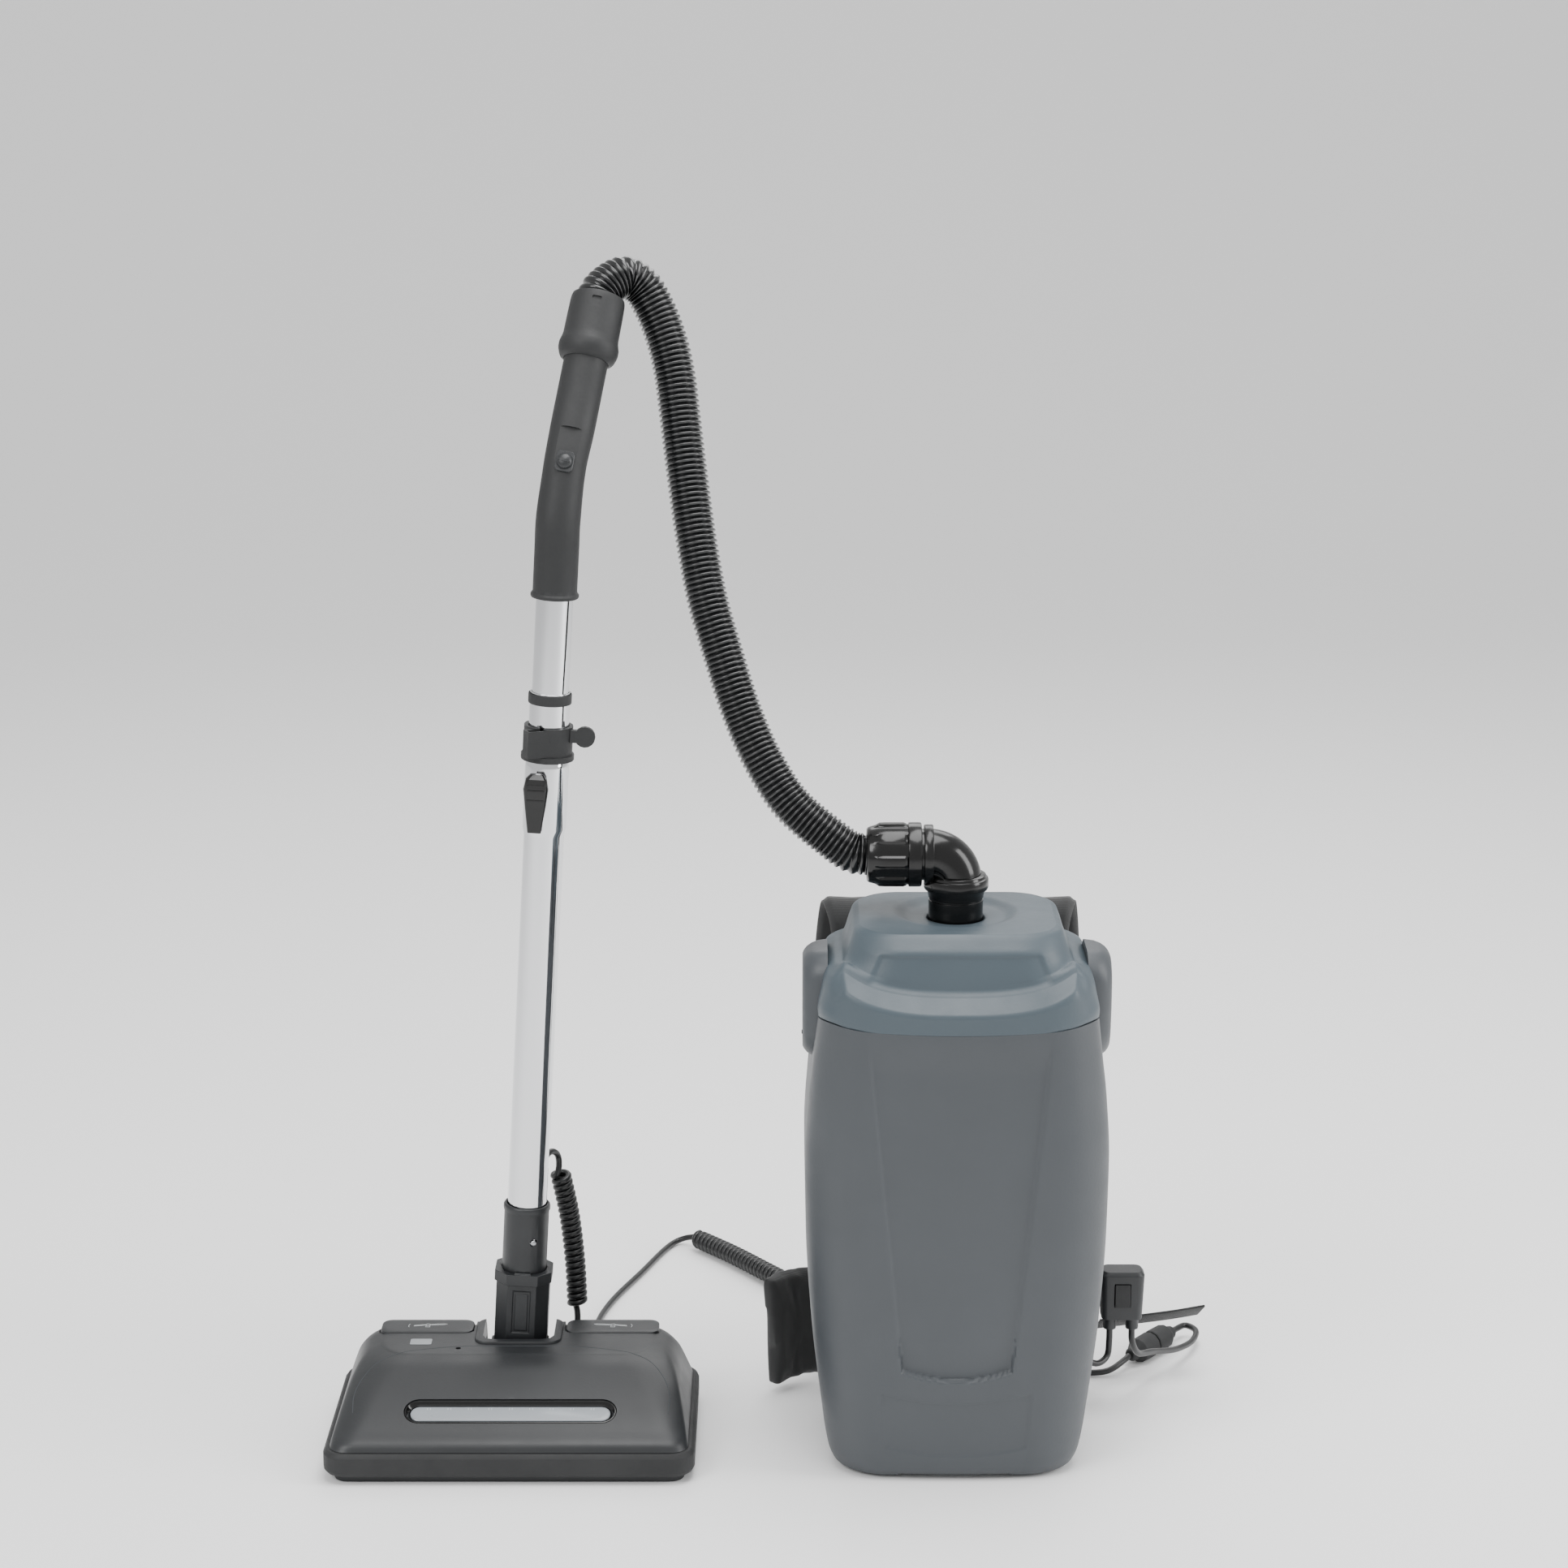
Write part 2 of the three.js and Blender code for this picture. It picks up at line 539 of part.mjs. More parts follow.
part(head, "window_bezel", onSlope(carve(
  [capsule(WINDOW.w + 3, WINDOW.h + 3, 8)],
  [at(capsule(WINDOW.w - 8, WINDOW.h - 8, 20), 0, 0, -4)],
), -6), LOOK.glossBlack);
part(head, "light_lens", onSlope(capsule(WINDOW.w - 9, WINDOW.h - 9, 4), -4), LOOK.lens);

// Foot pedals sit in the rear corners of the deck and tip about their front edges.
function pedal(side) {
  const top = loft([
    { z: 0, w: PEDAL.w - 2, d: PEDAL.d - 2, r: 9 },
    { z: 4, w: PEDAL.w, d: PEDAL.d, r: 10 },
    { z: 6.2, w: PEDAL.w - 6, d: PEDAL.d - 6, r: 8 },
  ], 3);
  const barrel = at(turnY(rod(2.4, 40, 10), 90), -20, -PEDAL.d / 2 + 2.4, 0.4);
  return at(carve([top, barrel]), side * PEDAL.x, PEDAL.y, PEDAL.z);
}
part(head, "pedal_left", pedal(-1), LOOK.satinBlack);
part(head, "pedal_right", pedal(1), LOOK.satinBlack);

// Brush roll with two helical bristle rows and a toothed-belt pulley at its left end.
function brushRoll() {
  const length = 272;
  const shaft = turned([
    [0, -148], [4, -148], [4, -138], [BRUSH.r, -138], [BRUSH.r, 136], [4, 136], [4, 148], [0, 148],
  ], 16);
  const rows = [0, 180].map((start) => {
    const points = [];
    for (let i = 0; i <= 12; i++) {
      const a = rad(start + i * 30);
      points.push([14.5 * Math.cos(a), 14.5 * Math.sin(a), -118 + (length - 26) * (i / 12)]);
    }
    return cord(points, 4.2, 12, 4);
  });
  return turnY(carve([shaft, ...rows]), 90);
}
const brush = new THREE.Group();
brush.position.set(0, BRUSH.y, BRUSH.z);
head.add(brush);
part(brush, "brush_roll", brushRoll(), LOOK.bristle);

const MOTOR = { y: -8, z: 40 };
part(head, "head_motor", at(turnY(carve(
  [rod(21, 78, 18)], [at(rod(3.4, 20, 10), 0, 0, -4)],
), 90), -114, MOTOR.y, MOTOR.z - 8), LOOK.steel);
const pulley = new THREE.Group();
pulley.position.set(-129, MOTOR.y, MOTOR.z - 8);
head.add(pulley);
part(pulley, "motor_pulley", turnY(carve([rod(8, 11, 16), rod(3, 24, 10)]), 90), LOOK.steel);

// A flat belt round both pulleys: the hull of two circles, as a closed band.
function beltBand() {
  const from = new THREE.Vector2(BRUSH.y, BRUSH.z);
  const to = new THREE.Vector2(MOTOR.y, MOTOR.z - 8);
  const outline = (grow) => {
    const shape = new THREE.Shape();
    const along = to.clone().sub(from);
    const heading = along.angle();
    const tip = Math.acos((BRUSH.r - 8) / along.length());
    shape.absarc(from.x, from.y, BRUSH.r + grow, heading + tip, heading - tip + 2 * Math.PI);
    shape.absarc(to.x, to.y, 8 + grow, heading - tip, heading + tip);
    return shape;
  };
  const band = outline(2);
  band.holes.push(outline(0.4));
  const flat = new THREE.ExtrudeGeometry(band, { depth: 8, bevelEnabled: false, curveSegments: 8 });
  return at(flat.rotateX(Math.PI / 2).rotateZ(Math.PI / 2), -127.5, 0, 0);
}
part(head, "drive_belt", beltBand(), LOOK.rubber);

part(head, "rear_axle", at(turnY(rod(3, 292, 10), 90), -146, 82, 14), LOOK.steel);
for (const [name, x] of [["left", -128], ["right", 128]]) {
  const wheel = new THREE.Group();
  wheel.position.set(x, 82, 14);
  head.add(wheel);
  part(wheel, "wheel_" + name, turnY(at(turned([
    [3.3, 0], [12, 0], [14, 2], [14, 12], [12, 14], [3.3, 14], [3.3, 0],
  ], 20), 0, 0, -7), 90), LOOK.rubber);
}
part(head, "pivot_pin", at(turnY(rod(6, 96, 14), 90), -48, HEAD.pivotY, HEAD.pivotZ), LOOK.steel);

// ---------------------------------------------------------------- neck and wand
const wand = new THREE.Group();
wand.position.set(0, HEAD.pivotY, HEAD.pivotZ);
wand.rotation.set(rad(WAND.leanFront), rad(WAND.leanRight), 0);
head.add(wand);

const octagon = (w, d, cut) => [
  [w / 2, -d / 2 + cut], [w / 2, d / 2 - cut], [w / 2 - cut, d / 2], [-w / 2 + cut, d / 2],
  [-w / 2, d / 2 - cut], [-w / 2, -d / 2 + cut], [-w / 2 + cut, -d / 2], [w / 2 - cut, -d / 2],
];
const prism = (outline, h) => new THREE.ExtrudeGeometry(
  new THREE.Shape(outline.map(([x, y]) => new THREE.Vector2(x, y))), { depth: h, bevelEnabled: false });

function neckBlock() {
  const bore = at(rod(19.8, 80, 20), 0, 0, 30);
  const air = at(rod(14, 60, 16), 0, 0, 16);
  const barrel = turnY(at(turnY(rod(16, 56, 20), 90), -28, 0, 0), -WAND.leanRight);
  const eye = turnY(at(turnY(rod(6.4, 90, 16), 90), -45, 0, 0), -WAND.leanRight);
  const frontPanel = carve([at(block(17, 6, 44), 0, -26.2, 30)], [at(block(12, 8, 38), 0, -26.2, 33)]);
  return carve([at(prism(octagon(52, 48, 12), 78), 0, 0, 2), barrel], [bore, air, eye, frontPanel]);
}
part(wand, "neck_block", neckBlock(), LOOK.satinBlack);
const neckCap = carve(
  [at(prism(octagon(56, 52, 13), 11), 0, 0, 80.4), at(block(16, 4, 4), 0, -22.5, 89)],
  [at(rod(22.4, 20, 20), 0, 0, 78), at(block(6, 3, 30), 0, 30, 78)],
);
part(wand, "neck_cap", neckCap, LOOK.satinBlack);
part(wand, "wand_socket", carve(
  [at(turned([
    [19.5, 0], [19.5, 50], [22, 52], [22, 120], [23, 122], [23, 126], [21.6, 128], [19.9, 128], [19.9, 62],
    [16, 62], [16, 0], [19.5, 0],
  ], 20), 0, 0, 31)],
  [at(turnX(rod(3.4, 20, 12), 90), 9, -10, 124)],
), LOOK.satinBlack);
const socketButton = turned([[0, 0], [3, 0], [3, 2.4], [1.8, 3.2], [0, 3.2]], 12);
part(wand, "socket_button", at(turnX(socketButton, 90), 9, -19, 124), LOOK.steel);

const T = WAND.tubeR;
function lowerTube() {
  const outer = turned([
    [T - 0.6, 0], [T - 0.1, 4], [T, 10], [T, 440], [T + 1.7, 447], [T + 1.7, 508], [T + 0.6, 512],
    [T, 514], [T, 580], [WAND.innerR + 0.4, 580], [WAND.innerR + 0.4, 0], [T - 0.6, 0],
  ], 20);
  const window = at(block(11, 12, 44), -8, -22, 452);
  return at(carve([outer], [turnZ(window, 0)]), 0, 0, 95);
}
part(wand, "lower_tube", lowerTube(), LOOK.chrome);
part(wand, "entry_ring", at(carve([
  turned([[T + 0.3, 0], [T + 1.5, 0], [T + 1.5, 9], [T + 0.8, 10], [T + 0.3, 10], [T + 0.3, 0]], 20),
]), 0, 0, 664), LOOK.softBlack);

// Collar with a cord clip: a ring, a square pocket at its left front and a curved hook at its right.
const collarSolid = at(carve(
  [
    tube(23.4, T + 0.5, 28, 20),
    at(turnZ(block(22, 12, 26), 28), -10, -22, 1),
    at(tube(25.4, T + 0.45, 5.4, 20), 0, 0, -5),
    at(block(12, 6, 12), 27, -8, 14),
    at(turnX(rod(10, 5, 16), 90), 35, -6, 20),
  ],
  [at(turnZ(block(16, 6, 30), 28), -10.5, -23.4, 3), at(rod(T + 0.5, 60, 20), 0, 0, -10)],
), 0, 0, 614.5);
part(wand, "collar_clip", collarSolid, LOOK.softBlack);

// Thumb button of the telescope lock: a domed top with ridges that tapers to its lower end.
const thumb = new THREE.Group();
thumb.position.set(-8, -T - 2.5, 542);
wand.add(thumb);
const thumbShape = loft([
  { z: 0, w: 13, d: 4, r: 1.8, y: -2.6 },
  { z: 26, w: 20, d: 7, r: 2.8, y: -4 },
  { z: 44, w: 24, d: 11, r: 4, y: -6 },
  { z: 54, w: 20, d: 11, r: 4, y: -6 },
  { z: 58, w: 12, d: 6, r: 2.6, y: -4 },
], 3);
const thumbRidges = [32, 37, 42, 47].map((z) => at(block(16, 2, 1.6), 0, z < 40 ? -8.6 : -11.4, z));
const thumbStem = at(block(8, 4, 34), 0, 0.2, 8);
part(thumb, "telescope_button", carve([thumbShape, ...thumbRidges, thumbStem]), LOOK.glossBlack);

const upper = new THREE.Group();
wand.add(upper);
part(upper, "upper_tube", at(tube(WAND.innerR, WAND.innerR - 1.2, 520, 20), 0, 0, 300), LOOK.chrome);

// ---------------------------------------------------------------- handle
const gripDir = new THREE.Vector3(
  Math.sin(rad(GRIP.right)), Math.sin(rad(GRIP.back)), Math.cos(rad(GRIP.back)),
).normalize();
const alongGrip = (s) => [gripDir.x * s, gripDir.y * s, GRIP.bendZ + gripDir.z * s];

function gripLoop(r) {
  const points = [[0, 0, 768], [0, 0, 800], [0, 0, 840]];
  for (const s of [26, 60, 110, GRIP.cuffFrom + 12]) points.push(alongGrip(s));
  return sweep(points, roundOutline(r, 14), 9);
}
// The grip's own frame: z along the grip, -y towards the thumb side.
const gripFrame = new THREE.Group();
gripFrame.position.set(0, 0, GRIP.bendZ);
gripFrame.quaternion.setFromUnitVectors(new THREE.Vector3(0, 0, 1), gripDir);
upper.add(gripFrame);
gripFrame.updateMatrix();
const inGrip = (geometry) => geometry.applyMatrix4(gripFrame.matrix);

function handleGrip() {
  const outer = [gripLoop(21), at(turned([[0, 0], [22.4, 0], [22.4, 3], [21, 6], [0, 6]], 20), 0, 0, 766.4)];
  const seat = inGrip(at(slab(26, 52, 30, 6, 3).rotateX(Math.PI / 2), 0, -18.4, 34));
  const bleed = inGrip(at(turnX(rod(5, 16, 12), 90), 0, -8, 42));
  return carve(outer, [gripLoop(16.4), at(rod(17.8, 60, 20), 0, 0, 762), seat, bleed]);
}
part(upper, "handle_grip", handleGrip(), LOOK.softBlack);

const slider = new THREE.Group();
gripFrame.add(slider);
part(slider, "bleed_slider", at(carve(
  [
    slab(17, 20, 1.6, 4, 3).rotateX(Math.PI / 2),
    at(turnX(turned([[0, 0], [7.4, 0], [7, 3], [4.6, 5], [0, 5.6]], 16), 90), 0, -1.4, 0),
  ],
), 0, -18.8, 26), LOOK.satinBlack);

const cuff = new THREE.Group();
gripFrame.add(cuff);
part(cuff, "handle_cuff", at(turned([
  [21.4, 0], [26, 4], [28.4, 10], [28.4, 16], [26.4, 24], [26, 62], [24.6, 65], [20.5, 65], [20.5, 22],
  [16.6, 18], [16.6, 13], [21.4, 13], [21.4, 0],
], 20), 0, 0, GRIP.cuffFrom), LOOK.softBlack);

// ---------------------------------------------------------------- hose and cords
// A point of the grip's axis, in the row's frame.
root.updateMatrixWorld(true);
function gripPoint(s) {
  const p = gripFrame.localToWorld(new THREE.Vector3(0, 0, s));
  return row.worldToLocal(p).toArray();
}

part(row, "hose", sweep([
  gripPoint(GRIP.cuffFrom + 65.6), gripPoint(GRIP.cuffFrom + 74), [-151, 119, 1115], [-136, 123, 1106],
  [-123, 120, 1085], [-111, 113, 1054], [-104, 106, 1024], [-99, 97, 986], [-92.6, 84, 935], [-84, 68, 875],
  [-72.4, 52, 815], [-59.3, 40, 771], [-39.3, 24, 711], [-18.5, 10, 667], [7, -2, 630], [41, -12, 602],
  [65, -16, 586.4], [77, -16, 584.8],
], roundOutline(HOSE_R, 10), 38), LOOK.hoseBlack);

// The belt's lead comes down behind the casing to the floor, runs through its curly stretch, then back to the
// rear of the floor head.
const BELT_COIL = [[20, 316, 12.4], [-16, 366, 12.4], [-58, 424, 12.4], [-96, 470, 12.4]];
part(row, "belt_cord", carve([
  cord(BELT_COIL, COIL_R, 6, 10),
  cord([
    [44, 102.4, 70], [44, 110, 66], [44, 122, 44], [45, 142, 14], [45, 168, 5], [44, 215, 4.2], [40, 270, 4.6],
    [30, 302, 9], [16, 321, 12.4],
  ], CORD_R, 16),
  cord([
    [-92, 465, 12.4], [-106, 482, 10], [-120, 484, 4.8], [-132, 462, 4.2], [-156, 390, 4.2], [-184, 310, 4.2],
    [-198, 240, 4.2], [-196, 170, 4.2], [-184, 116, 8], [-178, 92, 30], [-178, 80, 46], [-178, 64, 50],
  ], CORD_R, 26),
]), LOOK.hoseBlack);
part(row, "head_cord", carve([
  cord([[-209, 101, 84], [-211, 103, 130], [-216, 102, 180], [-224, 96, 226]], COIL_R, 6, 10),
  cord([[-209, 101, 88], [-209, 98, 64], [-209, 86, 51], [-209, 64, 50]], CORD_R, 8),
  cord([
    [-224, 96, 222], [-226, 93, 246], [-233, 82, 253], [-241, 68, 244], [-246, 57, 226], [-247, 54.5, 208],
  ], CORD_R, 12),
]), LOOK.hoseBlack);

part(row, "pigtail_cord", cord([
  [346, 40, 82], [346.5, 41, 70], [354, 56, 50], [374, 92, 36], [402, 136, 20], [424, 176, 13], [430, 204, 13],
  [421, 217, 13], [412, 209, 13], [405.6, 200.6, 13],
], CORD_R, 20), LOOK.hoseBlack);
part(row, "switch_cord", cord([
  [324, 40, 82], [324, 41, 70], [322, 38, 54], [312, 28, 50], [300, 22.5, 55], [288, 22, 56],
], CORD_R, 12), LOOK.hoseBlack);
part(row, "motor_lead", cord([
  [353.9, 134.8, 13], [347, 126, 11], [330, 114, 5.4], [300, 112, 4.4], [268, 112, 5.4], [253, 104, 18],
  [251, 96, 44], [256, 86, 58], [259, 76, 60], [259, 66, 60],
], CORD_R, 22), LOOK.hoseBlack);

// Two cord connectors pushed together, lying on the floor.
const COUPLING = new THREE.Group();
COUPLING.position.set(380, 168, 13.2);
COUPLING.rotation.z = rad(52);
row.add(COUPLING);
const connectorBody = (length) => turnY(turned([
  [0, 0], [5.2, 0], [7, 3], [7.5, 10], [12.6, 16], [13, length - 2], [12.2, length], [0, length],
], 12), 90);
part(COUPLING, "connector_plug", connectorBody(40).translate(-41, 0, 0), LOOK.rubber);
part(COUPLING, "connector_socket", turnZ(connectorBody(40), 180).translate(40.4, 0, 0), LOOK.rubber);

export default root;
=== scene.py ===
"""The looks of a backpack vacuum cleaner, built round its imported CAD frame. Metres, +Z up."""

import json
import math

import bmesh
import bpy
import numpy as np
from mathutils import Matrix, Vector


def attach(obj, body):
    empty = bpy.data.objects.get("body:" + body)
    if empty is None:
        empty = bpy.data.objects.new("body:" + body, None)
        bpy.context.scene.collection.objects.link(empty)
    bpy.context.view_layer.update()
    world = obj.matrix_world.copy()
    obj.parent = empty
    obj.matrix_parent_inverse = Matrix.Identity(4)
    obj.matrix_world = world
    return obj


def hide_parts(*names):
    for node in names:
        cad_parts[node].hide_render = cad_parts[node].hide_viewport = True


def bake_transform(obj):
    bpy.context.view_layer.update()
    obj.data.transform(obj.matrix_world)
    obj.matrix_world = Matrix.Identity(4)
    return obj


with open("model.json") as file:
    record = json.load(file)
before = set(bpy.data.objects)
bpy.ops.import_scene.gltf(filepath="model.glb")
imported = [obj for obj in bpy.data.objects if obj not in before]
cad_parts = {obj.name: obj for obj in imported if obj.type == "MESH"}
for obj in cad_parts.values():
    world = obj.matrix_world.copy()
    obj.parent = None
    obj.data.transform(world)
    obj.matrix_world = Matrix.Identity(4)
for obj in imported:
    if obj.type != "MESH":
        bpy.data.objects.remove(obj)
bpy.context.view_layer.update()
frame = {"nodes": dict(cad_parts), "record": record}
nodes = frame["nodes"]

# ------------------------------------------------------------------ places, in metres
MM = 0.001
ROW = Vector((5.55, -1.3, 0)) * MM  # where the row of casing and head stands
PACK = Vector((163, -38, 0)) * MM + ROW
HEAD = Vector((-262, -38, 0)) * MM + ROW
NECK = HEAD + Vector((0, 68, 62)) * MM
LEAN_FRONT = math.radians(1.2)
LEAN_RIGHT = math.radians(3.5)
SOCKET_Y = 22  # the inlet's place behind the lid's middle, mm
SEAM_Z = 440  # where the lid meets the casing, mm
LID_TOP = 530
LATCH_Z = 448  # the latches' middle, mm
ELBOW_Z = 584.5
HOSE_D = 0.040  # over the crests of its ribs
CORD_D = 0.0064
COIL_R = 12  # outer radius of the curly cords, mm
GRIP_BEND_Z = 864
GRIP_BACK = 28
GRIP_RIGHT = 7
CUFF_FROM = 132

WAND = Matrix.Translation(NECK) @ (
    Matrix.Rotation(LEAN_FRONT, 4, "X") @ Matrix.Rotation(LEAN_RIGHT, 4, "Y")
)
GRIP_DIR = Vector((
    math.sin(math.radians(GRIP_RIGHT)),
    math.sin(math.radians(GRIP_BACK)),
    math.cos(math.radians(GRIP_BACK)),
)).normalized()
GRIP_TURN = Vector((0, 0, 1)).rotation_difference(GRIP_DIR).to_matrix().to_4x4()
GRIP = WAND @ Matrix.Translation((0, 0, GRIP_BEND_Z * MM)) @ GRIP_TURN
AT_PACK = Matrix.Translation(PACK)
AT_HEAD = Matrix.Translation(HEAD)
AT_ELBOW = Matrix.Translation(PACK + Vector((0, SOCKET_Y, 0)) * MM)


def in_row(*point):
    """A point given in the row's millimetres."""
    return Vector(point) * MM + ROW


def route(*points):
    return [in_row(*point) for point in points]


def shift_by(x, y, z):
    return Matrix.Translation((x, y, z))


def turn_about(axis, angle):
    return Matrix.Rotation(angle, 4, axis)


def on_grip(s):
    """A point of the handle's axis, s millimetres above its bend."""
    return GRIP @ Vector((0, 0, s * MM))


# ------------------------------------------------------------------ camera
def make_camera():
    data = bpy.data.cameras.new("camera")
    data.sensor_width = 36
    data.lens = 80.12
    data.clip_end = 50
    camera = bpy.data.objects.new("camera", data)
    camera.location = (0.00555, -3.2123, 1.420)
    camera.rotation_euler = (math.radians(76.5), 0, 0)
    bpy.context.collection.objects.link(camera)
    bpy.context.scene.camera = camera


make_camera()


# ------------------------------------------------------------------ materials
def node(tree, kind, inputs=None, **settings):
    """A shader node, with its settings and either numbers or links for its inputs."""
    made = tree.nodes.new(kind)
    for key, value in settings.items():
        setattr(made, key, value)
    for key, value in (inputs or {}).items():
        if isinstance(value, bpy.types.NodeSocket):
            tree.links.new(value, made.inputs[key])
        else:
            made.inputs[key].default_value = value
    return made


def rgb(text):
    """A linear colour from six hex digits."""
    parts = [int(text[i:i + 2], 16) / 255 for i in (0, 2, 4)]
    return tuple(c / 12.92 if c < 0.04045 else ((c + 0.055) / 1.055) ** 2.4 for c in parts)


def shade(colour, by):
    return tuple(min(1.0, c * by) for c in colour) + (1.0,)


def material(name, colour, rough, metal=0.0, grain=0.0, grain_size=0.0004, mottle=0.08,
             wear=0.25, coat=0.0, smear=0.12, specular=0.5, weave=None, sheen=0.0, brushed=0.0):
    """A moulded, plated or woven surface: colour clouds, edge wear, smears, grain, and weave with painted
    shade between its threads.
    """
    made = bpy.data.materials.new(name)
    made.use_nodes = True
    tree = made.node_tree
    shader = tree.nodes["Principled BSDF"]
    base = rgb(colour)
    place = node(tree, "ShaderNodeTexCoord").outputs["Object"]
    clouds = node(tree, "ShaderNodeTexNoise", {"Vector": place, "Scale": 9.0, "Detail": 5.0})
    tint = node(tree, "ShaderNodeValToRGB", {"Fac": clouds.outputs["Fac"]})
    tint.color_ramp.elements[0].position = 0.3
    tint.color_ramp.elements[1].position = 0.72
    tint.color_ramp.elements[0].color = shade(base, 1 - mottle)
    tint.color_ramp.elements[1].color = shade(base, 1 + mottle)
    colour_out = tint.outputs["Color"]
    if wear:
        edges = node(tree, "ShaderNodeNewGeometry").outputs["Pointiness"]
        worn = node(tree, "ShaderNodeMapRange", {
            "Value": edges, "From Min": 0.53, "From Max": 0.62, "To Min": 0.0, "To Max": wear})
        lighter = node(tree, "ShaderNodeMix", data_type="RGBA")
        tree.links.new(worn.outputs["Result"], lighter.inputs["Factor"])
        tree.links.new(colour_out, lighter.inputs["A"])
        lighter.inputs["B"].default_value = shade(tuple(c * 1.6 + 0.02 for c in base), 1)
        colour_out = lighter.outputs["Result"]
    stretched = node(tree, "ShaderNodeMapping", {"Vector": place, "Scale": (1.0, 1.0, 1.0)})
    if brushed:
        stretched.inputs["Scale"].default_value = (60.0, 60.0, 1.0)
    streaks = node(tree, "ShaderNodeTexNoise", {
        "Vector": stretched.outputs["Vector"], "Scale": 22.0, "Detail": 6.0, "Roughness": 0.62})
    roughness = node(tree, "ShaderNodeMapRange", {
        "Value": streaks.outputs["Fac"], "From Min": 0.3, "From Max": 0.7,
        "To Min": max(0.02, rough * (1 - smear)), "To Max": min(1.0, rough * (1 + smear))})
    tree.links.new(roughness.outputs["Result"], shader.inputs["Roughness"])
    height = None
    if grain:
        speckle = node(tree, "ShaderNodeTexNoise", {
            "Vector": place, "Scale": 1 / (grain_size * 6), "Detail": 4.0})
        height = node(tree, "ShaderNodeBump", {
            "Height": speckle.outputs["Fac"], "Strength": grain, "Distance": grain_size})
    if weave:
        height, thread = woven(tree, place, weave)
        # Painted shade: the colour falls to 45% of the base between the woven threads.
        weave_gap_shade = node(tree, "ShaderNodeMix", data_type="RGBA")
        tree.links.new(thread, weave_gap_shade.inputs["Factor"])
        weave_gap_shade.inputs["A"].default_value = shade(base, 0.45)
        tree.links.new(colour_out, weave_gap_shade.inputs["B"])
        colour_out = weave_gap_shade.outputs["Result"]
    if height:
        tree.links.new(height.outputs["Normal"], shader.inputs["Normal"])
    tree.links.new(colour_out, shader.inputs["Base Color"])
    shader.inputs["Metallic"].default_value = metal
    shader.inputs["Specular IOR Level"].default_value = specular
    shader.inputs["Coat Weight"].default_value = coat
    shader.inputs["Coat Roughness"].default_value = 0.08
    shader.inputs["Sheen Weight"].default_value = sheen
    return made


def woven(tree, place, pitch):
    """Over-and-under threads from two crossed waves; gives the bump node and a thread mask, which is low
    between the threads, where material() paints shade.
    """
    waves = []
    for turn in ((0, 0, 0), (0, math.pi / 2, 0)):
        turned = node(tree, "ShaderNodeMapping", {"Vector": place, "Rotation": turn})
        waves.append(node(tree, "ShaderNodeTexWave", {
            "Vector": turned.outputs["Vector"], "Scale": 0.314 / pitch, "Distortion": 0.6,
            "Detail": 1.0}))
    crossed = node(tree, "ShaderNodeMath", {
        0: waves[0].outputs["Fac"], 1: waves[1].outputs["Fac"]}, operation="MAXIMUM")
    bump = node(tree, "ShaderNodeBump", {
        "Height": crossed.outputs["Value"], "Strength": 0.55, "Distance": pitch * 0.5})
    return bump, crossed.outputs["Value"]


LOOK = {
    "body_grey": material("moulded_grey", "3c4044", 0.46, grain=0.22, grain_size=0.0005, mottle=0.03),
    "lid_grey": material("moulded_blue_grey", "3f4a51", 0.46, grain=0.22, grain_size=0.0005, mottle=0.03),
    "latch_slate": material("slate_plastic", "1f272b", 0.36, grain=0.1, mottle=0.04),
    "satin_black": material("satin_black_plastic", "1e2022", 0.42, grain=0.18, mottle=0.08),
    "soft_black": material("soft_touch_plastic", "191a1b", 0.62, grain=0.3, grain_size=0.0006, mottle=0.08),
    "gloss_black": material("gloss_black_plastic", "070707", 0.2, coat=0.15, specular=0.35,
                            mottle=0.1, smear=0.4),
    "hose_black": material("ribbed_hose_plastic", "101112", 0.26, coat=0.25, mottle=0.12, smear=0.3),
    "cord_black": material("cord_jacket", "141516", 0.36, grain=0.08, mottle=0.1),
    "chrome": material("plated_chrome", "dcdddf", 0.07, metal=1.0, wear=0.0, mottle=0.01,
                       smear=0.5, brushed=1.0),
    "steel": material("plain_steel", "a4a6a8", 0.32, metal=1.0, mottle=0.05, brushed=1.0),
    "lens": material("milky_diffuser", "8d9297", 0.3, wear=0.0, mottle=0.06, coat=0.4),
    "bristle": material("nylon_bristle", "1b1c1d", 0.7, grain=0.8, grain_size=0.0012),
    "webbing": material("woven_webbing", "131415", 0.75, weave=0.0016, wear=0.0, sheen=0.15),
    "cloth": material("padded_cloth", "141516", 0.85, weave=0.0009, wear=0.0, sheen=0.25),
    "mesh_cloth": material("spacer_mesh", "202224", 0.9, weave=0.0026, wear=0.0, sheen=0.2),
    "thread": material("sewing_thread", "2c2e30", 0.7, grain=0.4, grain_size=0.0005, wear=0.0),
    "paper": material("filter_fleece", "c9c2b2", 0.9, grain=0.6, grain_size=0.0009, wear=0.0),
    "rubber": material("matte_rubber", "1a1b1c", 0.66, grain=0.35, mottle=0.1),
    "foam": material("filter_foam", "33363a", 0.95, grain=1.0, grain_size=0.002, wear=0.0),
    "icon_white": material("printed_outline", "c8cbcc", 0.5, grain=0.1, wear=0.0),
    "plate_grey": material("plain_plate", "8c9093", 0.4, grain=0.2, wear=0.0),
    # Painted shade for the seam grooves on the floor head's cover.
    "groove_painted_shade": material("groove_shadow", "2b2f33", 0.6, grain=0.1, wear=0.0),
}


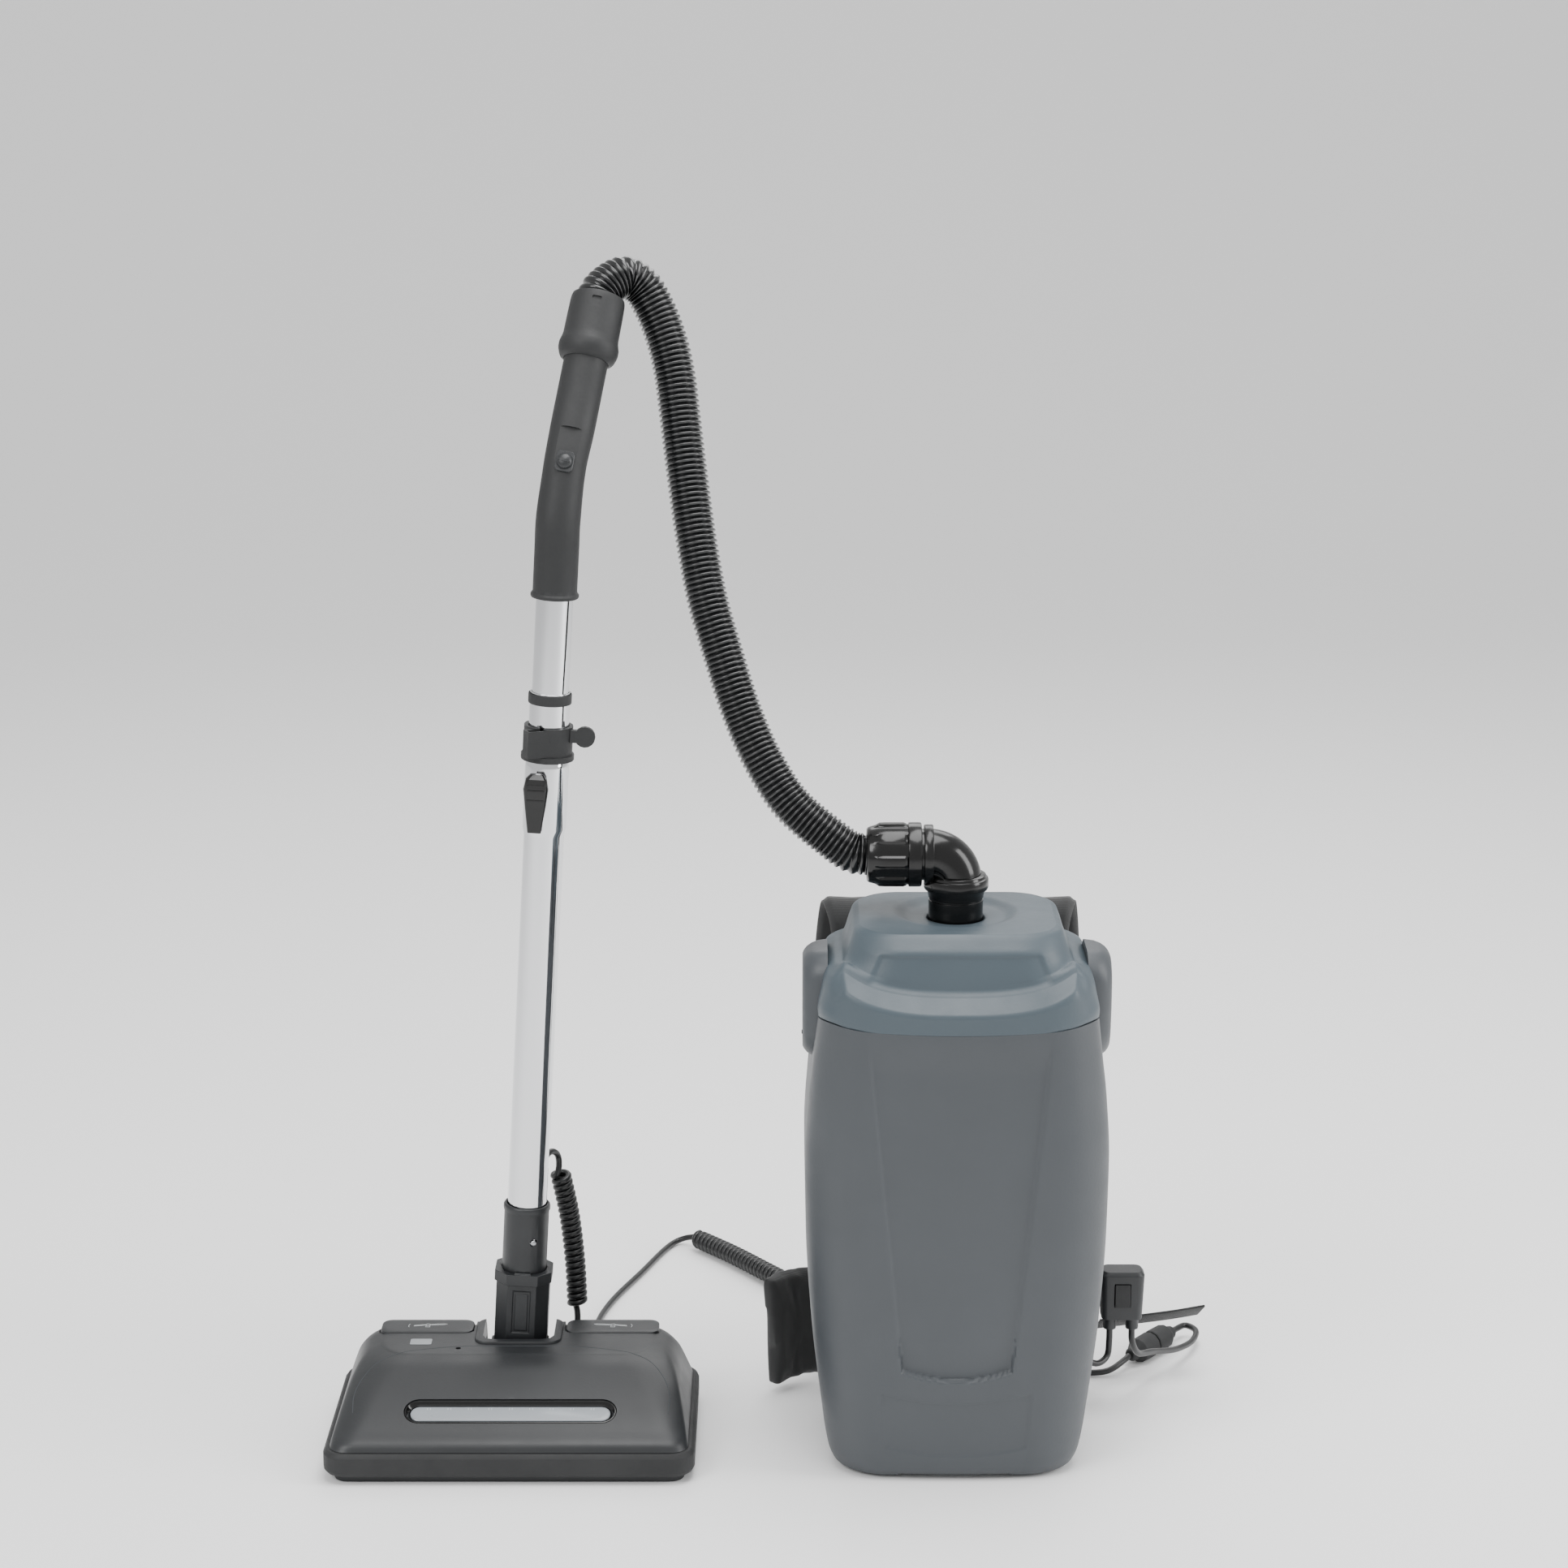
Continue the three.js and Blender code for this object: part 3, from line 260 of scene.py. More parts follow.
# ------------------------------------------------------------------ mesh helpers
def from_mesh(name, points, faces, look, smooth=True, angle=38):
    mesh = bpy.data.meshes.new(name)
    mesh.from_pydata([tuple(p) for p in points], [], faces)
    mesh.validate()
    mesh.update()
    made = bpy.data.objects.new(name, mesh)
    bpy.context.collection.objects.link(made)
    made.data.materials.append(LOOK[look])
    if smooth:
        smooth_by_angle(made, angle)
    return made


def smooth_by_angle(piece, angle=38):
    piece.data.polygons.foreach_set("use_smooth", [True] * len(piece.data.polygons))
    piece.data.set_sharp_from_angle(angle=math.radians(angle))


def settle(piece):
    """Applies a piece's modifiers to its mesh."""
    graph = bpy.context.evaluated_depsgraph_get()
    made = bpy.data.meshes.new_from_object(piece.evaluated_get(graph))
    old = piece.data
    piece.modifiers.clear()
    piece.data = made
    bpy.data.meshes.remove(old)
    return piece


def rings_mesh(name, loops, look, caps=(True, True), angle=38):
    """A skin over closed loops of equal length, with fan caps where asked."""
    n = len(loops[0])
    points = [p for loop in loops for p in loop]
    faces = []
    for k in range(len(loops) - 1):
        for i in range(n):
            j = (i + 1) % n
            faces.append((k * n + i, k * n + j, (k + 1) * n + j, (k + 1) * n + i))
    for end, wanted in ((0, caps[0]), (len(loops) - 1, caps[1])):
        if wanted:
            ring = list(range(end * n, end * n + n))
            faces.append(tuple(reversed(ring)) if end == 0 else tuple(ring))
    return from_mesh(name, points, faces, look, angle=angle)


def rounded(w, d, r, n=96, x=0.0, y=0.0, z=0.0):
    """n points round a rounded rectangle, evenly by length, from the middle of its front."""
    r = min(r, w / 2 - 0.01, d / 2 - 0.01)
    straight = [w - 2 * r, d - 2 * r]
    arc = math.pi * r / 2
    around = 2 * sum(straight) + 4 * arc
    out = []
    for i in range(n):
        s = (i / n * around + straight[0] / 2) % around
        turn = 0
        while s > straight[turn % 2] + arc:
            s -= straight[turn % 2] + arc
            turn += 1
        along = straight[turn % 2]
        half = (w / 2 - r, d / 2 - r) if turn % 2 == 0 else (d / 2 - r, w / 2 - r)
        if s <= along:
            u, v = -half[0] + s, -(half[1] + r)
        else:
            a = (s - along) / r
            u, v = half[0] + r * math.sin(a), -half[1] - r * math.cos(a)
        for _ in range(turn % 4):
            u, v = -v, u
        out.append(Vector((x + u, y + v, z)))
    return out


def circle(r, n=96, x=0.0, y=0.0, z=0.0):
    """n points round a circle, starting at its front, in the order that rounded() takes."""
    step = 2 * math.pi / n
    return [Vector((x + r * math.sin(i * step), y - r * math.cos(i * step), z)) for i in range(n)]


def rings_of(*rows):
    """Rings from (z, width, depth, corner radius, and the middle's y where it is not 0)."""
    return [dict(zip(("z", "w", "d", "r", "y"), row)) for row in rows]


def ring_points(ring, n, less_w=0, less_d=0, less_r=0, z=None):
    """The points of a ring, made smaller by so much, at its own height or another."""
    return rounded(ring["w"] - less_w, ring["d"] - less_d, ring["r"] - less_r, n,
                   y=ring.get("y", 0.0), z=ring["z"] if z is None else z)


def as_array(points):
    return np.array([tuple(p) for p in points])


def smooth_rings(rings, keys, steps):
    """Values of each key between the rings, by monotone cubic curves over the rings' z."""
    z = np.array([ring["z"] for ring in rings], float)
    heights = np.array(steps, float)
    out = {"z": heights}
    for key in keys:
        v = np.array([ring.get(key, 0.0) for ring in rings], float)
        slope = np.diff(v) / np.diff(z)
        m = np.zeros(len(v))
        m[0], m[-1] = slope[0], slope[-1]
        for i in range(1, len(v) - 1):
            if slope[i - 1] * slope[i] > 0:
                m[i] = 2 * slope[i - 1] * slope[i] / (slope[i - 1] + slope[i])
        k = np.clip(np.searchsorted(z, heights, side="right") - 1, 0, len(z) - 2)
        h = z[k + 1] - z[k]
        t = (heights - z[k]) / h
        out[key] = (
            v[k] * (2 * t**3 - 3 * t**2 + 1) + m[k] * h * (t**3 - 2 * t**2 + t)
            + v[k + 1] * (3 * t**2 - 2 * t**3) + m[k + 1] * h * (t**3 - t**2)
        )
    return [dict(zip(out, row)) for row in zip(*out.values())]


def placed(piece, matrix):
    """Moves a piece made in millimetres in its own group's frame to the row frame, in metres."""
    piece.data.transform(Matrix.Scale(MM, 4))
    piece.data.transform(matrix)
    piece.data.update()
    return piece


def riding(piece, body, replaces=()):
    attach(piece, body)
    if replaces:
        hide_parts(*replaces)
    return piece


def turned(name, profile, look, n=64, angle=38):
    """A turned body about Z from [radius, z] points; ends on the axis close it."""
    loops = [circle(max(r, 0.02), n, z=z) for r, z in profile]
    closed = profile[0] == profile[-1]
    if closed:
        loops = loops[:-1]
        points = [p for loop in loops for p in loop]
        faces = []
        for k in range(len(loops)):
            m = (k + 1) % len(loops)
            for i in range(n):
                j = (i + 1) % n
                faces.append((k * n + i, k * n + j, m * n + j, m * n + i))
        return from_mesh(name, points, faces, look, angle=angle)
    return rings_mesh(name, loops, look, angle=angle)


def joined(name, pieces):
    """One piece made of several, as separate shells in one mesh."""
    bm = bmesh.new()
    looks = []
    for piece in pieces:
        look = piece.data.materials[0]
        if look not in looks:
            looks.append(look)
        start = len(bm.faces)
        bm.from_mesh(piece.data)
        bm.faces.ensure_lookup_table()
        for face in bm.faces[start:]:
            face.material_index = looks.index(look)
    mesh = bpy.data.meshes.new(name)
    bm.to_mesh(mesh)
    bm.free()
    for look in looks:
        mesh.materials.append(look)
    for piece in pieces:
        bpy.data.objects.remove(piece)
    made = bpy.data.objects.new(name, mesh)
    bpy.context.collection.objects.link(made)
    return made


def cut(piece, cutters, how="DIFFERENCE"):
    """Takes closed cutters away from a piece, and removes them."""
    for cutter in cutters:
        modifier = piece.modifiers.new("cut", "BOOLEAN")
        modifier.operation = how
        modifier.solver = "EXACT"
        modifier.object = cutter
    bpy.context.view_layer.update()
    settle(piece)
    for cutter in cutters:
        bpy.data.objects.remove(cutter)
    smooth_by_angle(piece, 32)
    return piece


def bevelled(piece, width, segments=2, angle=35):
    modifier = piece.modifiers.new("soft_edges", "BEVEL")
    modifier.width = width
    modifier.segments = segments
    modifier.limit_method = "ANGLE"
    modifier.angle_limit = math.radians(angle)
    modifier.harden_normals = False
    return piece


# ------------------------------------------------------------------ smooth routes
def catmull(points, per_span=12):
    """A centripetal curve through the points, as the CAD sweeps use."""
    pts = [Vector(p) for p in points]
    pts = [2 * pts[0] - pts[1]] + pts + [2 * pts[-1] - pts[-2]]
    out = []
    for p0, p1, p2, p3 in zip(pts, pts[1:], pts[2:], pts[3:]):
        t1 = (p1 - p0).length ** 0.5
        t2 = t1 + (p2 - p1).length ** 0.5
        t3 = t2 + (p3 - p2).length ** 0.5
        for i in range(per_span):
            t = t1 + (t2 - t1) * i / per_span
            a1 = p0 * ((t1 - t) / t1) + p1 * (t / t1)
            a2 = p1 * ((t2 - t) / (t2 - t1)) + p2 * ((t - t1) / (t2 - t1))
            a3 = p2 * ((t3 - t) / (t3 - t2)) + p3 * ((t - t2) / (t3 - t2))
            b1 = a1 * ((t2 - t) / t2) + a2 * (t / t2)
            b2 = a2 * ((t3 - t) / (t3 - t1)) + a3 * ((t - t1) / (t3 - t1))
            out.append(b1 * ((t2 - t) / (t2 - t1)) + b2 * ((t - t1) / (t2 - t1)))
    out.append(pts[-2])
    return out


def respaced(line, step):
    """The line again in even steps of about that length."""
    co = np.array([tuple(p) for p in line])
    along = np.concatenate([[0], np.cumsum(np.linalg.norm(np.diff(co, axis=0), axis=1))])
    at = np.linspace(0, along[-1], max(2, round(along[-1] / step) + 1))
    return [Vector([np.interp(s, along, co[:, k]) for k in range(3)]) for s in at]


def length_of(line):
    return sum((b - a).length for a, b in zip(line, line[1:]))


def frames_along(line):
    """A tangent and two turning-free cross directions at each point of a line."""
    out = []
    side = None
    for i, p in enumerate(line):
        along = (line[min(i + 1, len(line) - 1)] - line[max(i - 1, 0)]).normalized()
        if side is None:
            guess = Vector((0, 0, 1)) if abs(along.z) < 0.9 else Vector((1, 0, 0))
            side = along.cross(guess).normalized()
        side = (side - along * side.dot(along)).normalized()
        out.append((p, along, side, along.cross(side)))
    return out


def section(place, radius, sides):
    """A circle of points round one place of a line, as frames_along() gives it."""
    p, _, side, up = place
    return [
        p + (side * math.cos(a) + up * math.sin(a)) * radius
        for a in (2 * math.pi * k / sides for k in range(sides))
    ]


def tube_mesh(name, line, radius, look, sides=16):
    """A tube along a line; radius is a number or a function of the place's index."""
    loops = [
        section(place, radius(i) if callable(radius) else radius, sides)
        for i, place in enumerate(frames_along(line))
    ]
    return rings_mesh(name, loops, look, angle=70)


# ------------------------------------------------------------------ the hose
HOSE_ROUTE = route(
    (107, -16, 584.5), (92, -16, 584.5), (77, -16, 584.8), (65, -16, 586.4), (41, -12, 602),
    (7, -2, 630), (-18.5, 10, 667), (-39.3, 24, 711), (-59.3, 40, 771), (-72.4, 52, 815),
    (-84, 68, 875), (-92.6, 84, 935), (-99, 97, 986), (-104, 106, 1024), (-111, 113, 1054),
    (-123, 120, 1085), (-136, 123, 1106), (-151, 119, 1115),
) + [
    on_grip(CUFF_FROM + 70), on_grip(CUFF_FROM + 50), on_grip(CUFF_FROM + 30),
]
HOSE_PITCH = 0.0052
RIB_STEPS = 8
RIB_DEPTH = 0.0026
HOSE_SIDES = 36
# Each span of the hose: where it starts along the length, and the two bodies that it runs between, which
# nothing here uses; each span is baked in place.
HOSE_SPANS = [
    ("hose_lower", 0.0, "lid_body", "base"),
    ("hose_middle", 1 / 3, "base", "wand"),
    ("hose_upper", 2 / 3, "wand", "wand_upper"),
]


def rib_radius(i):
    """Rounded crests with narrow valleys, one turn of the corrugation every RIB_STEPS rings."""
    t = (i % RIB_STEPS) / RIB_STEPS
    crest = 0.5 - 0.5 * math.cos(2 * math.pi * t)
    return HOSE_D / 2 - RIB_DEPTH * (1 - crest**0.6)


def make_hose():
    line = respaced(catmull(HOSE_ROUTE, 24), HOSE_PITCH / RIB_STEPS)
    last = len(line) - 1
    marks = [round(last * share / RIB_STEPS) * RIB_STEPS for _, share, _, _ in HOSE_SPANS] + [last]
    places = frames_along(line)
    for k, (name, _, a, b) in enumerate(HOSE_SPANS):
        i0, i1 = marks[k], marks[k + 1]
        loops = [section(places[i], rib_radius(i), HOSE_SIDES) for i in range(i0, i1 + 1)]
        piece = rings_mesh(name, loops, "hose_black", caps=(k == 0, k == len(HOSE_SPANS) - 1), angle=80)
        if k == 0:
            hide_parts("hose")
        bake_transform(piece)


make_hose()


# ------------------------------------------------------------------ cords
def curl(axis_points, pitch, radius, start_angle=0.0, per_turn=14):
    """A helix about a smooth axis; radius is to the wire's middle, all in metres."""
    axis = respaced(catmull(axis_points, 16), 0.001)
    frames = frames_along(axis)
    total = length_of(axis)
    steps = int(total / pitch * per_turn)
    out = []
    for i in range(steps + 1):
        at = i / steps * (len(axis) - 1)
        p, _, side, up = frames[min(int(at), len(frames) - 1)]
        nxt = frames[min(int(at) + 1, len(frames) - 1)][0]
        p = p.lerp(nxt, at - int(at))
        a = start_angle + 2 * math.pi * i / per_turn
        out.append(p + (side * math.cos(a) + up * math.sin(a)) * radius)
    return out


def eased(line):
    """The line with its corners taken off by a few passes of averaging."""
    for _ in range(3):
        line = [line[0]] + [
            (a + 2 * b + c) / 4 for a, b, c in zip(line, line[1:], line[2:])
        ] + [line[-1]]
    return line


BELT_LEAD = route(
    (44, 102.4, 70), (44, 110, 66), (44, 122, 44), (45, 142, 14), (45, 168, 5), (44, 215, 4.2),
    (40, 270, 4.6), (30, 302, 9), (20, 316, 12.4),
)
BELT_COIL = route(
    (20, 316, 12.4), (-16, 366, 12.4), (-58, 424, 12.4), (-96, 470, 12.4),
)
BELT_TAIL = route(
    (-96, 470, 12.4), (-106, 482, 10), (-120, 484, 4.8), (-132, 462, 4.2), (-156, 390, 4.2),
    (-184, 310, 4.2), (-198, 240, 4.2), (-196, 170, 4.2), (-184, 116, 8), (-178, 92, 30),
    (-178, 80, 46), (-178, 64, 50),
)
HEAD_LOWER = route(
    (-209, 64, 50), (-209, 86, 51), (-209, 98, 64), (-209, 101, 84),
)
HEAD_COIL = route(
    (-209, 101, 84), (-211, 103, 130), (-216, 102, 180), (-224, 96, 226),
)
HEAD_LOOP = route(
    (-224, 96, 226), (-226, 93, 246), (-233, 82, 253), (-241, 68, 244), (-246, 57, 226),
    (-247, 54.5, 208),
)
PIGTAIL = route(
    (346, 40, 82), (346.5, 41, 70), (354, 56, 50), (374, 92, 36), (402, 136, 20), (424, 176, 13),
    (430, 204, 13), (421, 217, 13), (412, 209, 13), (405.6, 200.6, 13),
)
SWITCH_CORD = route(
    (324, 40, 82), (324, 41, 70), (322, 38, 54), (312, 28, 50), (300, 22.5, 55), (288, 22, 56),
)
MOTOR_LEAD = route(
    (353.9, 134.8, 13), (347, 126, 11), (330, 114, 5.4), (300, 112, 4.4), (268, 112, 5.4),
    (253, 104, 18), (251, 96, 44), (256, 86, 58), (259, 76, 60), (259, 66, 60),
)
CURL_R = COIL_R * MM - CORD_D / 2
CURL_PITCH = CORD_D * 1.04


def curly_route(lead, coil, tail):
    """One line: straight lead, curled stretch, straight tail, with short ramps between them."""
    turns = curl(coil, CURL_PITCH, CURL_R)
    whole = []
    if lead:
        whole += catmull(lead, 6)[:-3]
    whole += turns
    if tail:
        whole += catmull(tail, 6)[3:]
    return eased(whole)


def lay_cord(name, line, body=None, replaces=(), blend=None):
    piece = tube_mesh(name, line, CORD_D / 2, "cord_black", sides=12)
    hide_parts(*replaces)
    if blend:
        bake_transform(piece)
    else:
        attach(piece, body)
    return piece


def make_cords():
    lay_cord("belt_curly_cord", curly_route(BELT_LEAD, BELT_COIL, BELT_TAIL),
             body="base", replaces=["belt_cord"])
    lay_cord("head_curly_cord", curly_route(HEAD_LOWER, HEAD_COIL, HEAD_LOOP),
             replaces=["head_cord"],
             blend=("base", "wand", HEAD_COIL[0], HEAD_LOOP[-1]))
    lay_cord("pigtail", respaced(catmull(PIGTAIL), 0.003), body="base",
             replaces=["pigtail_cord"])
    lay_cord("switch_lead", respaced(catmull(SWITCH_CORD), 0.003), body="base",
             replaces=["switch_cord"])
    lay_cord("motor_plug_lead", respaced(catmull(MOTOR_LEAD), 0.003),
             body="base", replaces=["motor_lead"])


make_cords()


# ------------------------------------------------------------------ CAD nodes kept as they are
SLOT_OF = {s["node"]: s["material_slot"] for s in frame["record"]["subparts"]}
WELD_GAP = 0.00002
FINE_EDGES = {"chrome": 0.0004, "rubber": 0.0008, "satin_black": 0.0007, "soft_black": 0.0008}


def dress_cad_nodes():
    """Gives every CAD node its material, welded smooth surfaces and softened edges."""
    for name, piece in nodes.items():
        slot = SLOT_OF[name]
        piece.data.materials.clear()
        piece.data.materials.append(LOOK[slot])
        weld = piece.modifiers.new("weld", "WELD")
        weld.merge_threshold = WELD_GAP
        bevelled(piece, FINE_EDGES.get(slot, 0.0005))
        piece.data.polygons.foreach_set("use_smooth", [True] * len(piece.data.polygons))
        smooth = piece.modifiers.new("even_normals", "WEIGHTED_NORMAL")
        smooth.keep_sharp = False
        smooth.weight = 100


dress_cad_nodes()


# ------------------------------------------------------------------ casing
def rise(x, low, high):
    """0 below low, 1 above high, smooth between; low may be the larger."""
    t = np.clip((np.asarray(x, float) - low) / (high - low), 0, 1)
    return t * t * (3 - 2 * t)


CASING = rings_of(
    (0, 212, 176, 44), (6, 230, 196, 50), (22, 242, 206, 52), (70, 256, 213, 54), (150, 274, 220, 56),
    (240, 285, 223, 58), (310, 287, 223, 58), (370, 280, 221, 56), (SEAM_Z - 0.3, 262, 218, 54),
)
WALL = 3.5
AROUND = 480  # points round each ring of casing and lid
CROWN = 2.4  # how far the front falls back towards its corners, less than the wall's thickness
SEAM_LIFT = 6.5  # the seam's height above SEAM_Z in the middle of the front
SEAM_SWEEP = 7.0  # and how much higher it is at the corners
GROOVE = 1.8  # the seam's chamfer on each side


def seam_lift(x, y):
    """How far the seam stands above its level at a point, in mm; none at the back."""
    return rise(-y, 30, 95) * SEAM_LIFT + SEAM_SWEEP * rise(-y, -10, 60) * np.clip(x / 131, -1, 1) ** 2


def casing_front(co, width):
    """The front's crown, its tall recessed panel and the shallow rectangle under it, in mm."""
    x, y, z = co[:, 0], co[:, 1], co[:, 2]
    lift = seam_lift(x, y) * rise(z, 396, SEAM_Z)
    front = rise(-y, 60, 100)
    y = y + front * CROWN * np.clip(x / (width / 2 - 54), -1, 1) ** 2
    half = 52 + 27 * (z - 112) / 262
    ledge = 104 + 10 * (x / 52) ** 2
    ramp_top = 143 + 9 * (x / 52) ** 2
    side = rise(half - np.abs(x), -1.0, 2.0)
    ramp = 2.8 + 3.0 * np.clip((ramp_top - z) / (ramp_top - ledge), 0, 1)
    tall = side * rise(z, ledge - 1.2, ledge + 1.6) * rise(z, 436, 405)
    y = y + front * ramp * tall
    bow = 10 * (x / 69) ** 2
    half = 66 + 4 * (z - 26) / 60
    plate = rise(half - np.abs(x), -1, 1)
    plate = plate * rise(z, 26 + bow - 1, 26 + bow + 1) * rise(z, 81 + bow + 1, 81 + bow - 1)
    y = y + front * 1.3 * plate
    notch = 6.5 * rise(np.abs(x), 57, 51) * rise(-y, 50, 56)
    return np.stack([x, y, np.maximum(z, notch) + lift], 1)


def make_casing():
    heights = np.concatenate([[0, 0.6, 1.6, 3, 4.6, 6.5], np.arange(8.5, SEAM_Z - 1, 1.6), [SEAM_Z - 0.3]])
    outer = smooth_rings(CASING, ["w", "d", "r"], heights)
    outer[-1]["w"] -= 2 * GROOVE
    outer[-1]["d"] -= 2 * GROOVE
    foot = dict(outer[0])
    loops = []
    for inset in (60, 30, 12, 4):
        ring = dict(foot, w=foot["w"] - inset, d=foot["d"] - inset, r=max(foot["r"] - inset / 2, 14), z=1.2)
        loops.append((ring, True))
    loops += [(ring, True) for ring in outer]
    top = outer[-1]
    loops.append((dict(top, w=top["w"] - 2 * WALL, d=top["d"] - 2 * WALL, r=top["r"] - WALL), True))
    for ring in reversed(smooth_rings(CASING, ["w", "d", "r"], [24, 60, 120, 180, 240, 300, 360, 410, 436])):
        inner = dict(ring, w=ring["w"] - 2 * WALL - 6, d=ring["d"] - 2 * WALL - 10, r=ring["r"] - WALL)
        loops.append((inner, False))
    made = []
    for ring, shaped in loops:
        co = as_array(ring_points(ring, AROUND))
        if shaped:
            co = casing_front(co, ring["w"])
        made.append([Vector(p) for p in co])
    shell = rings_mesh("casing_wall", made, "body_grey", angle=50)
    housings = [latch_housing(side) for side in (-1, 1)]
    casing = joined("casing", [shell, *housings])
    smooth_by_angle(casing, 50)
    placed(casing, AT_PACK)
    riding(casing, "base", ["main_shell"])


def latch_housing(side):
    """A leaf-shaped swelling at the casing's side with a pocket for the latch lever."""
    rings = [
        (122, 108, 82, 24), (131, 107, 80, 26), (137, 104, 76, 27), (141.5, 99, 70, 27),
        (144.2, 93, 62, 25), (145.5, 88, 55, 23), (145.3, 86.5, 50, 22), (144.4, 86, 47.6, 21),
        (139.9, 85.6, 47, 21),
    ]
    loops = []
    for x, h, w, r in rings:
        loop = []
        for p in rounded(h, w, r, 96):
            along = p.x / h
            narrow = 1 - 0.28 * max(0.0, along) * 2 if x > 131 else 1 - 0.2 * max(0.0, along) * 2
            loop.append(Vector((side * x, side * p.y * narrow, LATCH_Z - p.x)))
        loops.append(loop)
    return rings_mesh("housing", loops, "body_grey", angle=50)


# ------------------------------------------------------------------ lid
LID = rings_of(
    (SEAM_Z, 262, 218, 54), (446, 263, 219, 54), (480, 254, 214, 54), (491, 246, 207, 52),
    (496, 232, 194, 50), (499, 216, 184, 46, 3), (520, 200, 168, 44, 9), (527, 194, 160, 42, 11),
    (530, 184, 150, 40, 12),
)
# The front's section up its middle: where a ring's height goes, in y and z.
FRONT_FROM = [440, 466, 469, 489, 491.5, 519, 522, 528, 530]
FRONT_Y = [-109, -109, -107.6, -91.5, -89.6, -80, -76, -66, -63]
FRONT_Z = [440, 461, 465, 477, 480, 513, 518, 527.6, 530]
BAND_SWEEP = 21  # how much higher the shoulder band is at its ends


def lid_front(co, ring):
    """Gives the front its wall, a shoulder band that sweeps up at both ends, and the facet over it."""
    x, y, z = co[:, 0], co[:, 1], co[:, 2]
    weight = rise(-y, 38, 78) * rise(np.abs(x), 122, 104)
    flat_y = ring["y"] - ring["d"] / 2
    shift_y = np.interp(ring["z"], FRONT_FROM, FRONT_Y) - flat_y
    shift_z = np.interp(ring["z"], FRONT_FROM, FRONT_Z) - ring["z"]
    near_band = float(rise(ring["z"], 446, 474) * rise(ring["z"], 521, 492))
    sweep = BAND_SWEEP * near_band * np.clip(np.abs(x) / 108, 0, 1) ** 3
    crown = rise(-y, 60, 100) * CROWN * np.clip(x / 77, -1, 1) ** 2
    half = 74 + 12 * np.clip((518 - z) / 34, 0, 1)
    facet = rise(half - np.abs(x), -3, 3) * float(rise(ring["z"], 489, 494) * rise(ring["z"], 521, 517))
    lift = seam_lift(x, y) * float(rise(ring["z"], 474, SEAM_Z))
    return np.stack([x, y + crown + shift_y * weight + 2.4 * facet * weight,
                     z + (shift_z + sweep) * weight + lift], 1)


def make_lid():
    heights = np.concatenate([
        [SEAM_Z, SEAM_Z + 0.5], np.arange(SEAM_Z + 2, 489, 1.6), np.arange(489, 500, 0.7),
        np.arange(500, LID_TOP, 1.1), [LID_TOP],
    ])
    outer = smooth_rings(LID, ["w", "d", "r", "y"], heights)
    outer[0]["w"] -= 2 * GROOVE
    outer[0]["d"] -= 2 * GROOVE
    inner = smooth_rings(LID, ["w", "d", "r", "y"], [SEAM_Z, 462, 469, 489, 491.5, 505, 517])
    loops = []
    for ring in inner[::-1]:
        by = 2 * WALL + (14 if ring["z"] > 480 else 6)
        low = ring["z"] - 3 * (ring["z"] > SEAM_Z)
        co = as_array(ring_points(ring, AROUND, by, by, WALL, z=low))
        loops.append([Vector(p) for p in lid_front(co, ring)])
    loops.append(rounded(262 - 2 * WALL, 218 - 2 * WALL, 54 - WALL, AROUND, z=SEAM_Z))
    for ring in outer:
        loops.append([Vector(p) for p in lid_front(as_array(ring_points(ring, AROUND)), ring)])
    rim = ring_points(outer[-1], AROUND)
    bowl = [(62, 0.2), (59, -0.3), (56, -1.4), (52, -3.4), (48, -5.2), (45, -5.9), (40, -6.1), (32, -6.3),
            (28.6, -6.6), (27.4, -7.6), (27.2, -20)]
    first = circle(bowl[0][0], AROUND, y=SOCKET_Y, z=LID_TOP)
    for t in (0.03, 0.1, 0.25, 0.5, 0.75, 0.92):
        swell = 0.9 * math.sin(math.pi * min(1.0, t * 1.2))
        loops.append([a.lerp(b, t) + Vector((0, 0, 0.3 * swell)) for a, b in zip(rim, first)])
    for r, z in bowl:
        loops.append(circle(r, AROUND, y=SOCKET_Y, z=LID_TOP + z))
    lid = rings_mesh("lid_shell", loops, "lid_grey", caps=(False, False), angle=60)
    placed(lid, AT_PACK)
    riding(lid, "lid_body", ["lid"])


# ------------------------------------------------------------------ latches
def make_latches():
    """Slate levers with a rounded lens outline, a raised rim and a pin head near the lower end."""
    for name, side in (("left", -1), ("right", 1)):
        loops = []
        for x, by in ((141.4, 0), (144.6, 0), (145.4, 1.2), (145.6, 2.6), (145.1, 3.6), (144.9, 6)):
            loop = []
            for i in range(72):
                a = 2 * math.pi * i / 72
                v = math.cos(a)
                half = (19.6 - by) * math.sin(a) * (0.62 + 0.38 * (v + 1) / 2) ** 0.8
                loop.append(Vector((side * x, side * half, LATCH_Z + (41.5 - by) * v)))
            loops.append(loop)
        plate = rings_mesh("plate", loops, "latch_slate", angle=40)
        pin = turned("pin", [[0, 0], [2.1, 0], [2.1, 0.8], [1.4, 1.2], [0, 1.2]], "satin_black", n=20)
        pin.data.transform(shift_by(side * 145.2, 0, 416) @ turn_about("Y", side * math.pi / 2))
        lever = joined("latch_lever_" + name, [plate, pin])
        smooth_by_angle(lever, 40)
        placed(lever, AT_PACK)
        riding(lever, "latch_" + name[0], ["latch_" + name])


